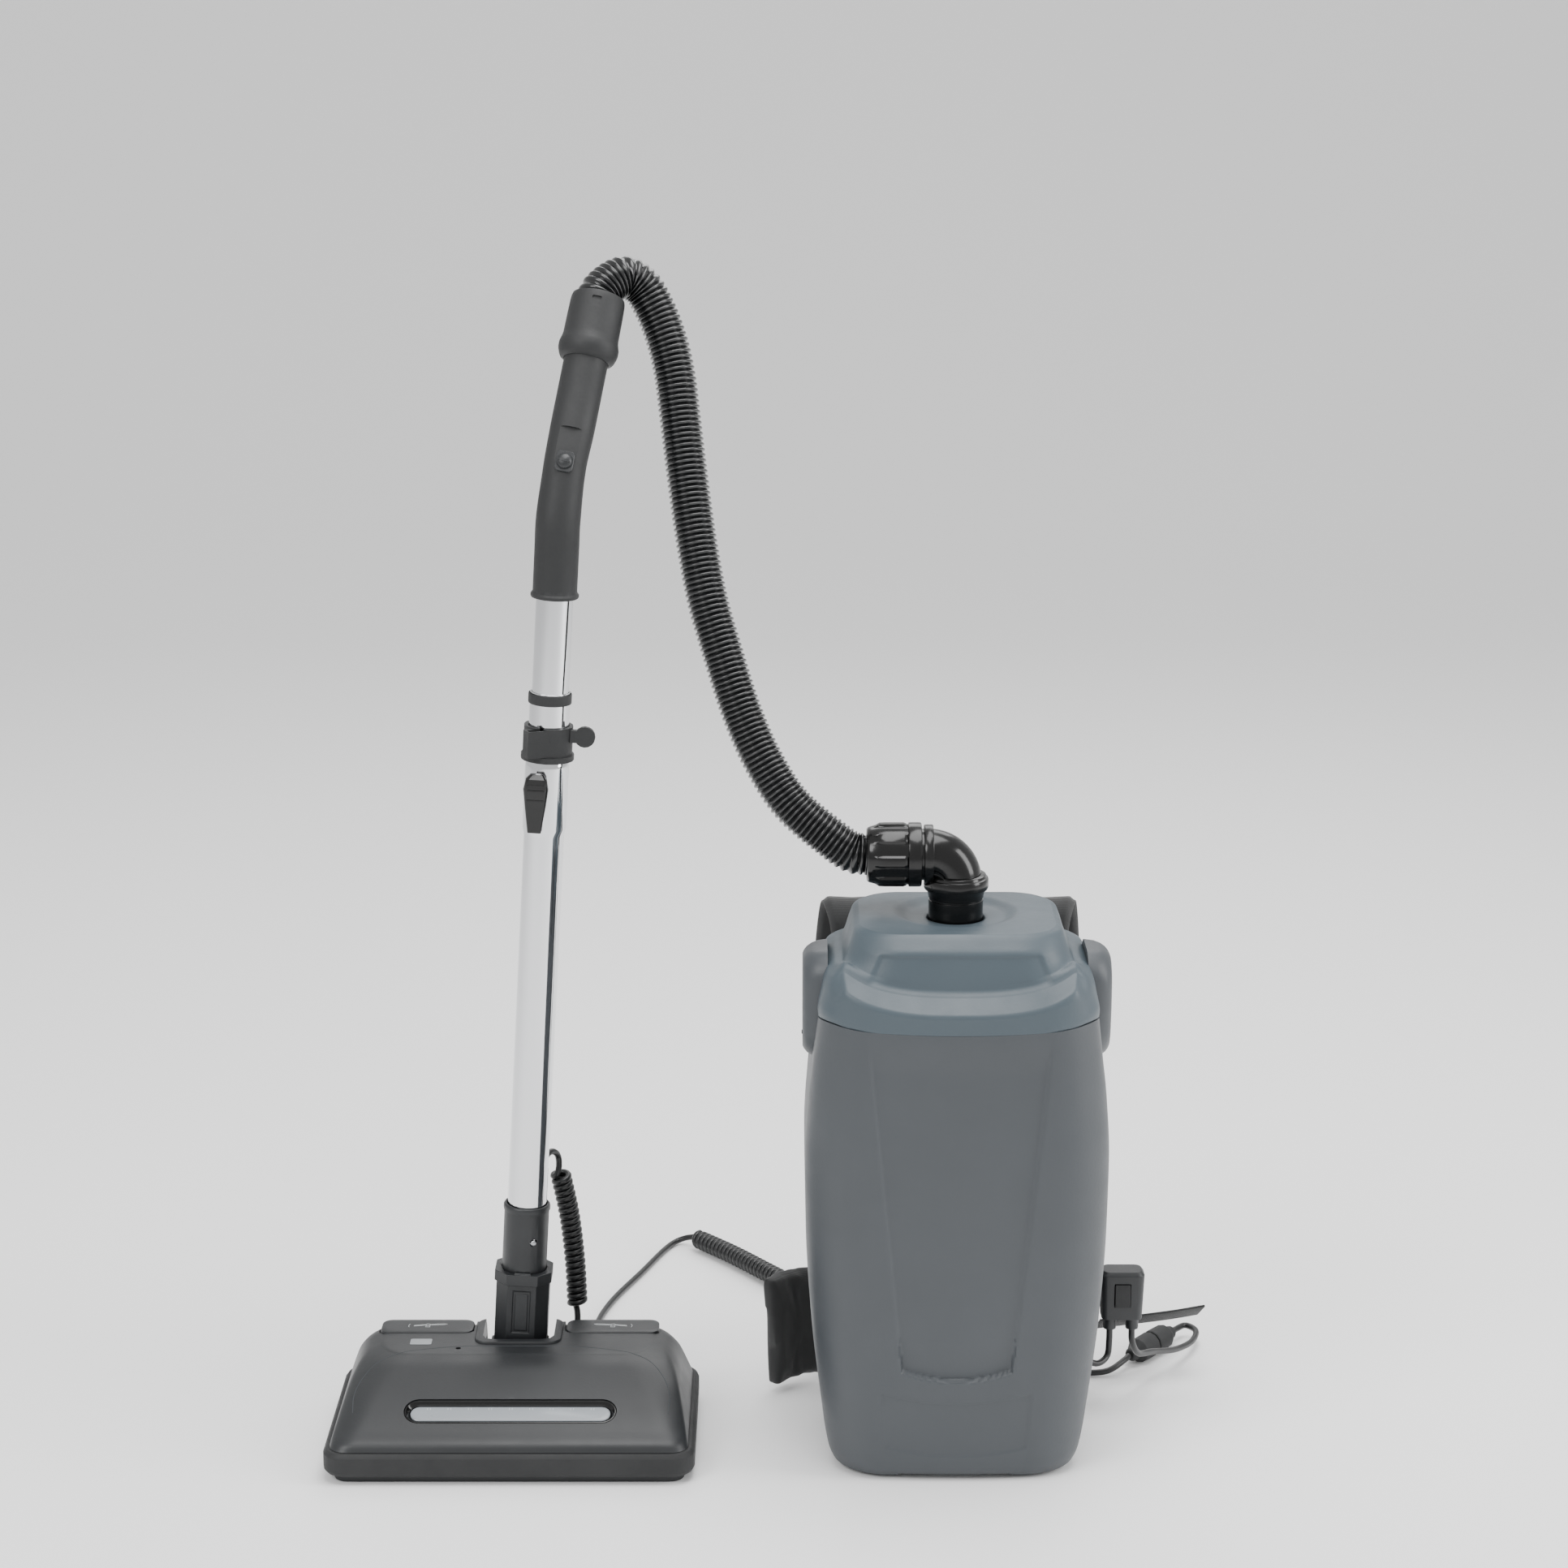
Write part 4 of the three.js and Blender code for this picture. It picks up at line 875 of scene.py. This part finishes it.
# ------------------------------------------------------------------ inlet elbow and hose cuff
def make_elbow():
    bend = 26
    low = ELBOW_Z - bend
    line = [Vector((0, 0, z)) for z in np.linspace(low - 12, low, 5)]
    for i in range(1, 25):
        a = math.pi / 2 * i / 24
        line.append(Vector((-bend * (1 - math.cos(a)), 0, low + bend * math.sin(a))))
    line += [Vector((x, 0, ELBOW_Z)) for x in (-28, -34, -40, -46)]
    pipe = tube_mesh("bend", line, 24.5, "gloss_black", sides=64)
    stub = turned("stub", [
        [20, 504], [25.4, 504], [26, 505], [26, 541], [25.4, 541.6], [25.4, 543], [26.2, 543.6], [27, 549],
        [30.2, 552], [31, 554], [31, 561], [30.4, 562.6], [29, 563.2], [28.4, 565.4], [26.6, 566.4],
        [24, 566.4],
    ], "gloss_black", n=96)
    flange = turned("flange", [
        [23, 0], [28, 0], [28.5, 0.8], [28.5, 7.6], [27.6, 8.8], [23, 9]], "gloss_black", n=96)
    flange.data.transform(shift_by(-22, 0, ELBOW_Z) @ turn_about("Y", -math.pi / 2))
    web = tube_mesh("rib", [
        Vector((-9 - 15 * (1 - math.cos(a)), -24.2, low - 2 + 15 * math.sin(a)))
        for a in np.linspace(0, math.pi / 2, 12)
    ], 0.7, "gloss_black", sides=8)
    elbow = joined("inlet_elbow", [pipe, stub, flange, web])
    smooth_by_angle(elbow, 40)
    placed(elbow, AT_ELBOW)
    riding(elbow, "lid_body", ["elbow_pipe"])


def make_hose_cuff():
    """A sleeve with raised grip lands, a plain band at the elbow and a flared mouth at the hose."""
    n = 192
    loops = []
    profile = [
        (24.6, 0.2), (29.4, 0), (30.4, 0.8), (30.6, 3), (30.6, 11), (30.2, 12.4), (28.6, 13), (28.5, 15),
        (28.5, 17), (28.5, 34), (28.4, 40), (28, 43), (27.4, 46), (26.6, 49), (25.6, 51), (24.2, 52),
        (22.6, 52), (20.9, 51), (20.9, 40), (24.4, 38), (24.6, 0.2),
    ]
    for r, z in profile:
        loop = []
        for i in range(n):
            a = 2 * math.pi * i / n
            land = rise(math.cos(8 * a), 0.1, 0.45) * rise(z, 13.5, 16) * rise(z, 45, 39) * (r > 27)
            out = r + 2.2 * float(land)
            loop.append(Vector((out * math.cos(a), out * math.sin(a), z)))
        loops.append(loop)
    cuff = rings_mesh("hose_end_cuff", loops, "gloss_black", caps=(False, False), angle=36)
    cuff.data.transform(shift_by(-33, 0, ELBOW_Z) @ turn_about("Y", -math.pi / 2))
    placed(cuff, AT_ELBOW)
    riding(cuff, "hose_end", ["hose_cuff"])


# ------------------------------------------------------------------ floor head
COVER = rings_of(
    (31.4, 342, 210, 17, 0), (37, 339, 206, 20, 1), (46, 333, 190, 24, 8), (56, 326, 170, 28, 17),
    (66, 318, 148, 32, 27), (75, 306, 124, 36, 37), (81, 290, 104, 36, 44), (84, 268, 86, 32, 49),
)
COVER_AROUND = 240
WINDOW = {"y": -65, "z": 54.6, "tilt": 25, "w": 200, "h": 26}
PEDAL = {"x": 92, "y": 76, "w": 92, "d": 34, "z": 79.5}


def box_cutter(w, d, h, x, y, z, r=2.0):
    return rings_mesh("cutter", [
        rounded(w, d, r, 48, x, y, z), rounded(w, d, r, 48, x, y, z + h)], "satin_black")


def on_slope(piece, lift):
    """Turns a piece made flat to lie on the cover's front slope at the window."""
    tilt = turn_about("X", math.radians(-WINDOW["tilt"]))
    piece.data.transform(shift_by(0, WINDOW["y"], WINDOW["z"]) @ tilt.inverted() @ shift_by(0, 0, lift))
    return piece


def capsule_rings(steps):
    """Loops of a long capsule from (growth, height) pairs, about the window's size."""
    w, h = WINDOW["w"], WINDOW["h"]
    return [rounded(w + by, h + by, (h + by) / 2 - 0.02, 120, z=z) for by, z in steps]


def make_head_cover():
    heights = np.concatenate([np.arange(31.4, 84, 1.5), [84]])
    outer = smooth_rings(COVER, ["w", "d", "r", "y"], heights)
    loops = []
    for ring in smooth_rings(COVER, ["w", "d", "r", "y"], [79, 70, 60, 50, 40, 31.4]):
        low = ring["z"] - 3 * (ring["z"] > 35)
        loops.append(ring_points(ring, COVER_AROUND, 7, 9, 3, z=low))
    for ring in outer:
        loops.append(ring_points(ring, COVER_AROUND))
    for by, up in ((3, 0.5), (10, 0.9), (40, 1.0), (70, 1.0)):
        ring = outer[-1]
        r = max(ring["r"] - by / 2, 4)
        loops.append(rounded(ring["w"] - by, ring["d"] - by, r, COVER_AROUND, y=ring["y"], z=84 + up))
    shell = rings_mesh("head_shell", loops, "satin_black", angle=30)
    rim = rings_mesh("rim", [
        rounded(86, 62, 13, 64, 0, 62, 70), rounded(86, 62, 13, 64, 0, 62, 85.4),
        rounded(84, 60, 12, 64, 0, 62, 87.2), rounded(80, 56, 10, 64, 0, 62, 87.6),
    ], "satin_black")
    cut(shell, [rim], "UNION")
    window = on_slope(rings_mesh("cutter", capsule_rings([(4, 0), (4, 30)]), "satin_black"), -16)
    cutters = [box_cutter(70, 130, 100, 0, 103, 5, 10), window]
    for side in (-1, 1):
        cutters.append(box_cutter(96, 60, 20, side * PEDAL["x"], 89, 78.2, 10))
    for x in (53, 84):
        hole = turned("cutter", [[0, 0], [5, 0], [5, 40], [0, 40]], "satin_black", n=24)
        hole.data.transform(shift_by(x, 80, 50) @ turn_about("X", -math.pi / 2))
        cutters.append(hole)
    recess = turned("cutter", [[0, 70], [2.6, 70], [2.6, 100], [0, 100]], "satin_black", n=24)
    recess.data.transform(shift_by(-57, 21, 0))
    cutters.append(recess)
    cut(shell, cutters)
    shell.name = "head_top"
    placed(shell, AT_HEAD)
    riding(shell, "base", ["head_cover"])
    return shell


def make_window():
    bezel = on_slope(rings_mesh("window_frame", capsule_rings([
        (-7, -2.4), (3.4, -2.4), (3.4, 1.2), (2.2, 2.0), (0.4, 2.1), (-2, 0.4), (-6.6, -1.8), (-7, -2.4)]),
        "gloss_black", caps=(False, False), angle=30), 0)
    placed(bezel, AT_HEAD)
    riding(bezel, "base", ["window_bezel"])
    lens = on_slope(rings_mesh("lens_strip", capsule_rings([
        (-8.4, -3.4), (-8.4, -1.6), (-9.6, -1.1), (-12, -0.9)]), "lens", angle=40), 0)
    placed(lens, AT_HEAD)
    riding(lens, "base", ["light_lens"])
    marks = []
    for i in range(9):
        for dx, w in ((-1.4, 0.5), (1.4, 0.5)):
            mark = rings_mesh("mark", [
                rounded(w, 2.4, 0.2, 12, (i - 4) * 19.6 + dx, 5.6, -0.9),
                rounded(w, 2.4, 0.2, 12, (i - 4) * 19.6 + dx, 5.6, -0.7)], "icon_white")
            marks.append(mark)
    led = on_slope(joined("lens_marks", marks), 0)
    placed(led, AT_HEAD)
    riding(led, "base")


def drop_onto(surface, points, lift):
    """Points in the head's mm plan, let down onto a placed surface and lifted off it a little."""
    graph = bpy.context.evaluated_depsgraph_get()
    shape = surface.evaluated_get(graph)
    out = []
    for x, y in points:
        start = AT_HEAD @ (Vector((x, y, 200)) * MM)
        hit, place, normal, _ = shape.ray_cast(start, Vector((0, 0, -1)))
        if hit:
            out.append(place + normal * lift * MM)
    return out


def line_on(name, surface, points, radius, look, body, lift=0.0):
    line = drop_onto(surface, [tuple(p)[:2] for p in points], lift)
    piece = tube_mesh(name, line, radius * MM, look, sides=8)
    riding(piece, body)
    return piece


def make_head_marks(cover):
    """The arched seam on the cover and a plain silver plate."""
    arch = respaced(catmull([
        (-151, -66, 0), (-152, -44, 0), (-146, -22, 0), (-130, 0, 0), (-104, 14, 0), (-62, 25, 0),
        (-46, 26.5, 0),
    ]), 2.0)
    # The seam lines: thin tubes of painted groove shade, half sunk into the cover.
    for name, sign in (("left", 1), ("right", -1)):
        line_on("cover_seam_" + name, cover, [(sign * p.x, p.y) for p in arch], 0.55, "groove_painted_shade", "base",
                lift=-0.25)
    middle = [(x, 26.5) for x in np.linspace(-46, 46, 30)]
    line_on("cover_seam_middle", cover, middle, 0.55, "groove_painted_shade", "base", lift=-0.25)
    plate = rings_mesh("blank_plate", [
        rounded(21, 14, 1.2, 32, -95, 37, 84.9), rounded(21, 14, 1.2, 32, -95, 37, 85.3),
        rounded(20.4, 13.4, 1.0, 32, -95, 37, 85.4)], "plate_grey")
    placed(plate, AT_HEAD)
    riding(plate, "base")


def icon_strokes():
    """A generic outline of a wand tipping over its pivot, in mm about its own middle."""
    ring = [(2.6 * math.cos(a), 2.6 * math.sin(a)) for a in np.linspace(0, 2 * math.pi, 24)]
    arm = [(3, 1.2), (10, 2.6), (17, 3.2), (20, 2.2), (17, 0.4), (10, -0.6), (3.4, -1)]
    stem = [(-1.8, -2.4), (-2.2, -7), (2.4, -7), (2.0, -2.4)]
    body = [(-3, 0.8), (-9, -0.4), (-14, -1.8), (-14.6, -4), (-9, -3.2), (-3.2, -1.2)]
    sweep = [(-17 + 3 * math.cos(a), -3 + 6 * math.sin(a)) for a in np.linspace(2.2, 3.9, 10)]
    return [ring, arm, stem, body, sweep]


def make_pedals():
    for name, side in (("left", -1), ("right", 1)):
        rings = [
            (90, 32, 9, 79.3), (92, 34, 10, 82.5), (92, 34, 10, 84.6), (91, 33, 9.6, 85.6), (88, 30, 9, 86.2),
            (80, 22, 8, 86.4),
        ]
        cap = rings_mesh("pedal_cap", [
            rounded(w, d, r, 120, side * PEDAL["x"], PEDAL["y"], z) for w, d, r, z in rings
        ], "satin_black", angle=40)
        strokes = []
        for stroke in icon_strokes():
            line = [Vector((side * PEDAL["x"] - side * x * 0.95, PEDAL["y"] + 1 + y * 0.8, 86.45))
                    for x, y in stroke]
            strokes.append(tube_mesh("stroke", line, 0.28, "icon_white", sides=6))
        pedal = joined("pedal_cap_" + name, [cap, *strokes])
        smooth_by_angle(pedal, 40)
        placed(pedal, AT_HEAD)
        riding(pedal, "pedal_" + name[0], ["pedal_" + name])


# ------------------------------------------------------------------ handle
def make_grip():
    """The handle's tube with its bend, a lower collar and the seat of the air slider."""
    low = [Vector((0, 0, z)) for z in (766.4, 790, 815, 838)]
    high = [Vector((0, 0, GRIP_BEND_Z)) + GRIP_DIR * s for s in (28, 60, 100, CUFF_FROM + 12)]
    line = respaced(catmull(low + high, 16), 2.2)
    total = len(line) - 1

    def radius(i):
        s = i / total
        return 21.0 - 0.9 * float(rise(s, 0.3, 0.48) * rise(s, 0.7, 0.5)) + 0.5 * float(rise(s, 0.03, 0.0))

    tube = tube_mesh("grip_tube", line, radius, "soft_black", sides=72)
    lip = turned("lip", [
        [19, 766], [22.2, 766], [22.8, 767], [22.8, 769], [21.4, 771], [19, 771]], "soft_black", n=72)
    cut(tube, [lip], "UNION")
    seat = rings_mesh("cutter", [rounded(26, 52, 6, 64), rounded(26, 52, 6, 64, z=30)], "soft_black")
    back = shift_by(0, 0, GRIP_BEND_Z) @ GRIP_TURN
    seat.data.transform(back @ shift_by(0, -18.2, 34) @ turn_about("X", math.pi / 2))
    bore = turned("cutter", [[0, 0], [17.9, 0], [17.9, 34], [0, 34]], "soft_black", n=64)
    bore.data.transform(shift_by(0, 0, 762))
    cut(tube, [seat, bore])
    tube.name = "grip_shell"
    placed(tube, WAND)
    riding(tube, "wand_upper", ["handle_grip"])


def make_cuff():
    cuff = turned("swivel_cuff", [
        [21.5, 0], [25.4, 2.4], [26.6, 4.4], [28.0, 8.4], [28.5, 11], [28.5, 15.6], [28.1, 17], [26.8, 22],
        [26.4, 25], [26.2, 44], [25.9, 58], [25.6, 62], [24.9, 64.4], [23.6, 65], [21.4, 65],
        [20.6, 64], [20.6, 24], [21.5, 16], [21.5, 0],
    ], "soft_black", n=96)
    slot = rings_mesh("cutter", [rounded(9, 3.4, 1.2, 32), rounded(9, 3.4, 1.2, 32, z=6)], "soft_black")
    slot.data.transform(shift_by(0, -24.4, 56) @ turn_about("X", math.pi / 2))
    cut(cuff, [slot])
    cuff.name = "swivel_cuff"
    cuff.data.transform(shift_by(0, 0, CUFF_FROM))
    placed(cuff, GRIP)
    riding(cuff, "cuff", ["handle_cuff"])


def make_slider():
    """A flat shoe with a half-dome thumb knob that is ridged on its lower half."""
    shoe = rings_mesh("shoe", [
        rounded(17, 20, 4, 48), rounded(17, 20, 4, 48, z=1.2), rounded(16, 19, 3.6, 48, z=1.6),
    ], "satin_black")
    dome = turned("dome", [
        [7.6, 1.2], [7.6, 2.2], [7.0, 3.6], [5.6, 5.0], [3.2, 6.0], [0, 6.3]], "satin_black", n=48)
    bars = []
    for k in range(4):
        half = math.sqrt(max(0.5, 6.4**2 - (1.2 + 1.4 * k) ** 2))
        bars.append(rings_mesh("bar", [
            rounded(2 * half, 0.7, 0.3, 16, 0, -1.2 - 1.4 * k, 2),
            rounded(2 * half - 1.6, 0.7, 0.3, 16, 0, -1.2 - 1.4 * k, 6.4 - 0.7 * k)], "satin_black"))
    knob = joined("air_slider", [shoe, dome, *bars])
    smooth_by_angle(knob, 36)
    knob.data.transform(shift_by(0, -18.6, 26) @ turn_about("X", math.pi / 2))
    placed(knob, GRIP)
    riding(knob, "bleed", ["bleed_slider"])


make_casing()
make_lid()
make_latches()
make_elbow()
make_hose_cuff()
head_top = make_head_cover()
make_window()
make_head_marks(head_top)
make_pedals()
make_grip()
make_cuff()
make_slider()


# ------------------------------------------------------------------ harness
CLOTH_VOXEL = 0.005
CLOTH_FRAMES = 20
SLIM_SHARES = np.array([0.4, 1.0, 0.4])  # of the slimming, along x, y and z


def copy_of(source, name):
    """A new object with a CAD node's mesh, set in the world's frame."""
    mesh = source.data.copy()
    mesh.transform(source.matrix_world)
    piece = bpy.data.objects.new(name, mesh)
    bpy.context.collection.objects.link(piece)
    mesh.materials.clear()
    return piece


def coords(piece):
    flat = np.empty(len(piece.data.vertices) * 3)
    piece.data.vertices.foreach_get("co", flat)
    return flat.reshape(-1, 3)


def set_coords(piece, co):
    piece.data.vertices.foreach_set("co", np.ascontiguousarray(co, dtype=np.float64).reshape(-1))
    piece.data.update()


# Plain copies of the solids that are swollen, for the box each must stay inside.
PLAIN_SOLIDS = {
    name: copy_of(nodes[name], name + "_solid")
    for name in ("back_pad", "lumbar_pad", "waist_wing_left", "waist_wing_right", "filter_bag")
}


def swollen(name, look, pressure=4.0, cap=0.006, slim=0.9):
    """A padded piece made from its plain solid: remeshed, puffed out as cloth, then subdivided."""
    piece = copy_of(nodes[name], name + "_cloth")
    remesh = piece.modifiers.new("even_grid", "REMESH")
    remesh.mode = "VOXEL"
    remesh.voxel_size = CLOTH_VOXEL
    settle(piece)
    plain = coords(PLAIN_SOLIDS[name])
    low, high = plain.min(0), plain.max(0)
    start = coords(piece)
    centre = (low + high) / 2
    start = centre + (start - centre) * (1 - (1 - slim) * SLIM_SHARES)
    set_coords(piece, start)
    cloth = piece.modifiers.new("swell", "CLOTH")
    cloth.settings.quality = 5
    cloth.settings.use_pressure = True
    cloth.settings.uniform_pressure_force = pressure
    cloth.settings.effector_weights.gravity = 0
    scene = bpy.context.scene
    for frame_number in range(1, CLOTH_FRAMES + 1):
        scene.frame_set(frame_number)
    graph = bpy.context.evaluated_depsgraph_get()
    shape = piece.evaluated_get(graph)
    moved = np.empty(len(shape.data.vertices) * 3)
    shape.data.vertices.foreach_get("co", moved)
    step = moved.reshape(-1, 3) - start
    length = np.linalg.norm(step, axis=1, keepdims=True)
    step *= np.minimum(1.0, cap / np.maximum(length, 1e-9))
    piece.modifiers.remove(cloth)
    set_coords(piece, np.clip(start + step, low, high))
    scene.frame_set(1)
    fine = piece.modifiers.new("fine", "SUBSURF")
    fine.levels = 1
    settle(piece)
    piece.data.materials.append(LOOK[look])
    for face in piece.data.polygons:
        face.use_smooth = True
    return piece


def channelled(piece, outward, lines, depth=0.0022, width=0.0036):
    """Presses sewn channels into the outer face along upright lines at the given world x."""
    co = coords(piece)
    middle = co[:, 1].mean()
    face = np.clip((co[:, 1] - middle) * outward / 0.004, 0, 1)
    for x in lines:
        co[:, 1] -= outward * depth * face * np.exp(-((co[:, 0] - x) / width) ** 2)
    set_coords(piece, co)


def stitch_row(name, places, normals, look="thread", long=0.0032, thick=0.0005):
    """Short thread dashes, each lying along its row and half sunk in the cloth."""
    points, faces = [], []
    for i in range(len(places) - 1):
        run = places[i + 1] - places[i]
        if run.length < 1e-6:
            continue
        run = run.normalized() * long / 2
        out = normals[i].normalized()
        side = run.cross(out).normalized() * thick
        out = out * thick
        base = len(points)
        middle = (places[i] + places[i + 1]) / 2
        for along in (-run, run):
            for across, up in ((side, out * 0.2), (Vector(), out), (-side, out * 0.2), (Vector(), -out)):
                points.append(middle + along + across + up)
        faces += [tuple(base + k for k in quad) for quad in
                  ((0, 1, 5, 4), (1, 2, 6, 5), (2, 3, 7, 6), (3, 0, 4, 7), (3, 2, 1, 0), (4, 5, 6, 7))]
    return from_mesh(name, points, faces, look)


def sewn_outline(name, piece, centre, w, h, r, outward):
    """Rows of stitches round a pad's outer face, found by casting onto the finished cloth."""
    graph = bpy.context.evaluated_depsgraph_get()
    shape = piece.evaluated_get(graph)
    loop = respaced([Vector((p.x, 0, p.y)) for p in rounded(w, h, r, 160)] + [Vector((w / 2, 0, 0))], 5.0)
    places, normals = [], []
    for p in loop:
        start = centre + p * MM + Vector((0, 0.2 * outward, 0))
        hit, place, normal, _ = shape.ray_cast(start, Vector((0, -outward, 0)))
        if hit:
            places.append(place)
            normals.append(normal)
    return stitch_row(name, places, normals)


def make_back_pads():
    for name, w, h, r, z, lines in (
        ("back_pad", 170, 190, 30, 340, (-28, 28)), ("lumbar_pad", 132, 104, 34, 150, (0,)),
    ):
        piece = swollen(name, "mesh_cloth", cap=0.006)
        channelled(piece, 1, [PACK.x + x * MM for x in lines])
        centre = PACK + Vector((0, 0, z)) * MM
        seams = sewn_outline(name + "_stitching", piece, centre, w - 22, h - 22, max(r - 8, 6), 1)
        riding(piece, "base", [name])
        riding(seams, "base")


def strap_mesh(name, points, look, profile, facing, spacing=4.0):
    """A flat band swept along points in pack mm; profile gives (across, half thickness) in mm."""
    line = respaced(catmull([Vector(p) for p in points], 16), spacing)
    loops = []
    for i, p in enumerate(line):
        tangent = (line[min(i + 1, len(line) - 1)] - line[max(i - 1, 0)]).normalized()
        side = (Vector(facing) - tangent * Vector(facing).dot(tangent)).normalized()
        out = tangent.cross(side)
        loop = [p + side * a + out * h for a, h in profile]
        loop += [p + side * a - out * h for a, h in reversed(profile)]
        loops.append(loop)
    piece = rings_mesh(name, loops, look, angle=60)
    placed(piece, AT_PACK)
    return piece, line


def quilted(width, thick, edge, flat):
    """Half the section of a padded band: a thin sewn border and a crowned middle."""
    out = []
    for k in range(25):
        u = -1 + 2 * k / 24
        crown = flat + (thick / 2 - flat) * float(rise(1 - abs(u), edge * 0.6, edge * 2.0))
        out.append((u * width / 2, crown * (0.25 if k in (0, 24) else 1.0)))
    return out


def make_straps():
    for name, side in (("left", -1), ("right", 1)):
        path = [
            (86 * side, 126, 444), (90 * side, 134, 490), (97 * side, 158, 500), (104 * side, 180, 440),
            (106 * side, 184, 340), (103 * side, 174, 240), (100 * side, 146, 166), (98 * side, 128, 142),
        ]
        strap, line = strap_mesh("shoulder_pad_" + name, path, "cloth",
                                 quilted(57, 10.6, 0.1, 2.0), (1, 0, 0))
        riding(strap, "base", ["shoulder_strap_" + name])
        rows = []
        for across in (-25.6, 25.6):
            places, normals = [], []
            for i in range(1, len(line) - 1):
                tangent = (line[i + 1] - line[i - 1]).normalized()
                sideways = (Vector((1, 0, 0)) - tangent * tangent.x).normalized()
                out = sideways.cross(tangent)
                places.append(AT_PACK @ ((line[i] + sideways * across + out * -2.1) * MM))
                normals.append(-out)
            rows.append(stitch_row("row", places, normals))
        riding(joined("shoulder_stitching_" + name, rows), "base")


def make_wings():
    for name in ("waist_wing_left", "waist_wing_right"):
        piece = swollen(name, "cloth", cap=0.004, slim=0.94)
        riding(piece, "base", [name])


BAG_FOLDS = 14


def make_bag():
    """The fleece bag, blown out a little, with soft folds down its sides and a plain mouth."""
    piece = swollen("filter_bag", "paper", cap=0.004, slim=0.97)
    co = coords(piece)
    middle = co[:, :2].mean(0)
    away = co[:, :2] - middle
    turn = np.arctan2(away[:, 1], away[:, 0])
    side = rise(np.linalg.norm(away, axis=1), 0.045, 0.06)
    fold = 1 - 0.02 * side * (0.5 + 0.5 * np.cos(BAG_FOLDS * turn))
    co[:, :2] = middle + away * fold[:, None]
    set_coords(piece, co)
    riding(piece, "base", ["filter_bag"])


def make_webbing():
    belt = [(155, 139, 62), (190, 145, 64), (232, 154, 66), (262, 162, 68)]
    handle = [
        (-49, 127.3, 441), (-49, 127.3, 470), (-38, 127.3, 501), (-14, 127.3, 513), (14, 127.3, 513),
        (38, 127.3, 501), (49, 127.3, 470), (49, 127.3, 441),
    ]
    flat = [(-15, 0.6), (-14, 1.2), (14, 1.2), (15, 0.6)]
    piece, _ = strap_mesh("belt_tail", belt, "webbing", flat, (0, -0.8, 0.6), 3.0)
    riding(piece, "base", ["belt_webbing"])
    loop = [(-8, 1.0), (-7, 1.7), (7, 1.7), (8, 1.0)]
    piece, _ = strap_mesh("grab_loop", handle, "webbing", loop, (0, 1, 0), 3.0)
    riding(piece, "base", ["carry_handle"])


make_back_pads()
make_straps()
make_wings()
make_bag()
make_webbing()
for spare in PLAIN_SOLIDS.values():
    bpy.data.objects.remove(spare)


# ------------------------------------------------------------------ stage
def make_stage():
    profile = [(-6.0, 0.0), (4.0, 0.0)]
    for step in range(1, 25):
        a = math.pi / 2 * step / 24
        profile.append((4 + 3 * math.sin(a), 3 - 3 * math.cos(a)))
    profile.append((7.0, 9.0))
    points = [(x, y, z) for y, z in profile for x in (-9, 9)]
    faces = [(2 * i, 2 * i + 1, 2 * i + 3, 2 * i + 2) for i in range(len(profile) - 1)]
    floor = from_mesh("floor", points, faces, "paper")
    pale = bpy.data.materials.new("pale_floor")
    pale.use_nodes = True
    shader = pale.node_tree.nodes["Principled BSDF"]
    shader.inputs["Base Color"].default_value = (0.93, 0.93, 0.93, 1)
    shader.inputs["Roughness"].default_value = 0.7
    floor.data.materials[0] = pale
    world = bpy.data.worlds.new("studio")
    world.use_nodes = True
    world.node_tree.nodes["Background"].inputs["Color"].default_value = (1, 1, 1, 1)
    world.node_tree.nodes["Background"].inputs["Strength"].default_value = 0.85
    bpy.context.scene.world = world


def make_light(name, place, size, power, aim=(0, 0, 0.5)):
    data = bpy.data.lights.new(name, "AREA")
    data.shape = "RECTANGLE"
    data.size, data.size_y = size
    data.energy = power
    light = bpy.data.objects.new(name, data)
    light.location = place
    light.rotation_euler = (Vector(aim) - Vector(place)).to_track_quat("-Z", "Y").to_euler()
    bpy.context.collection.objects.link(light)


make_stage()
make_light("key", (-2.2, -2.4, 2.8), (1.6, 1.6), 70)
make_light("fill", (2.8, -0.6, 1.6), (1.0, 2.2), 60)
make_light("top", (0.3, -0.2, 3.2), (2.4, 1.6), 90)
make_light("rim", (0.4, 2.6, 2.6), (2.4, 1.2), 30)
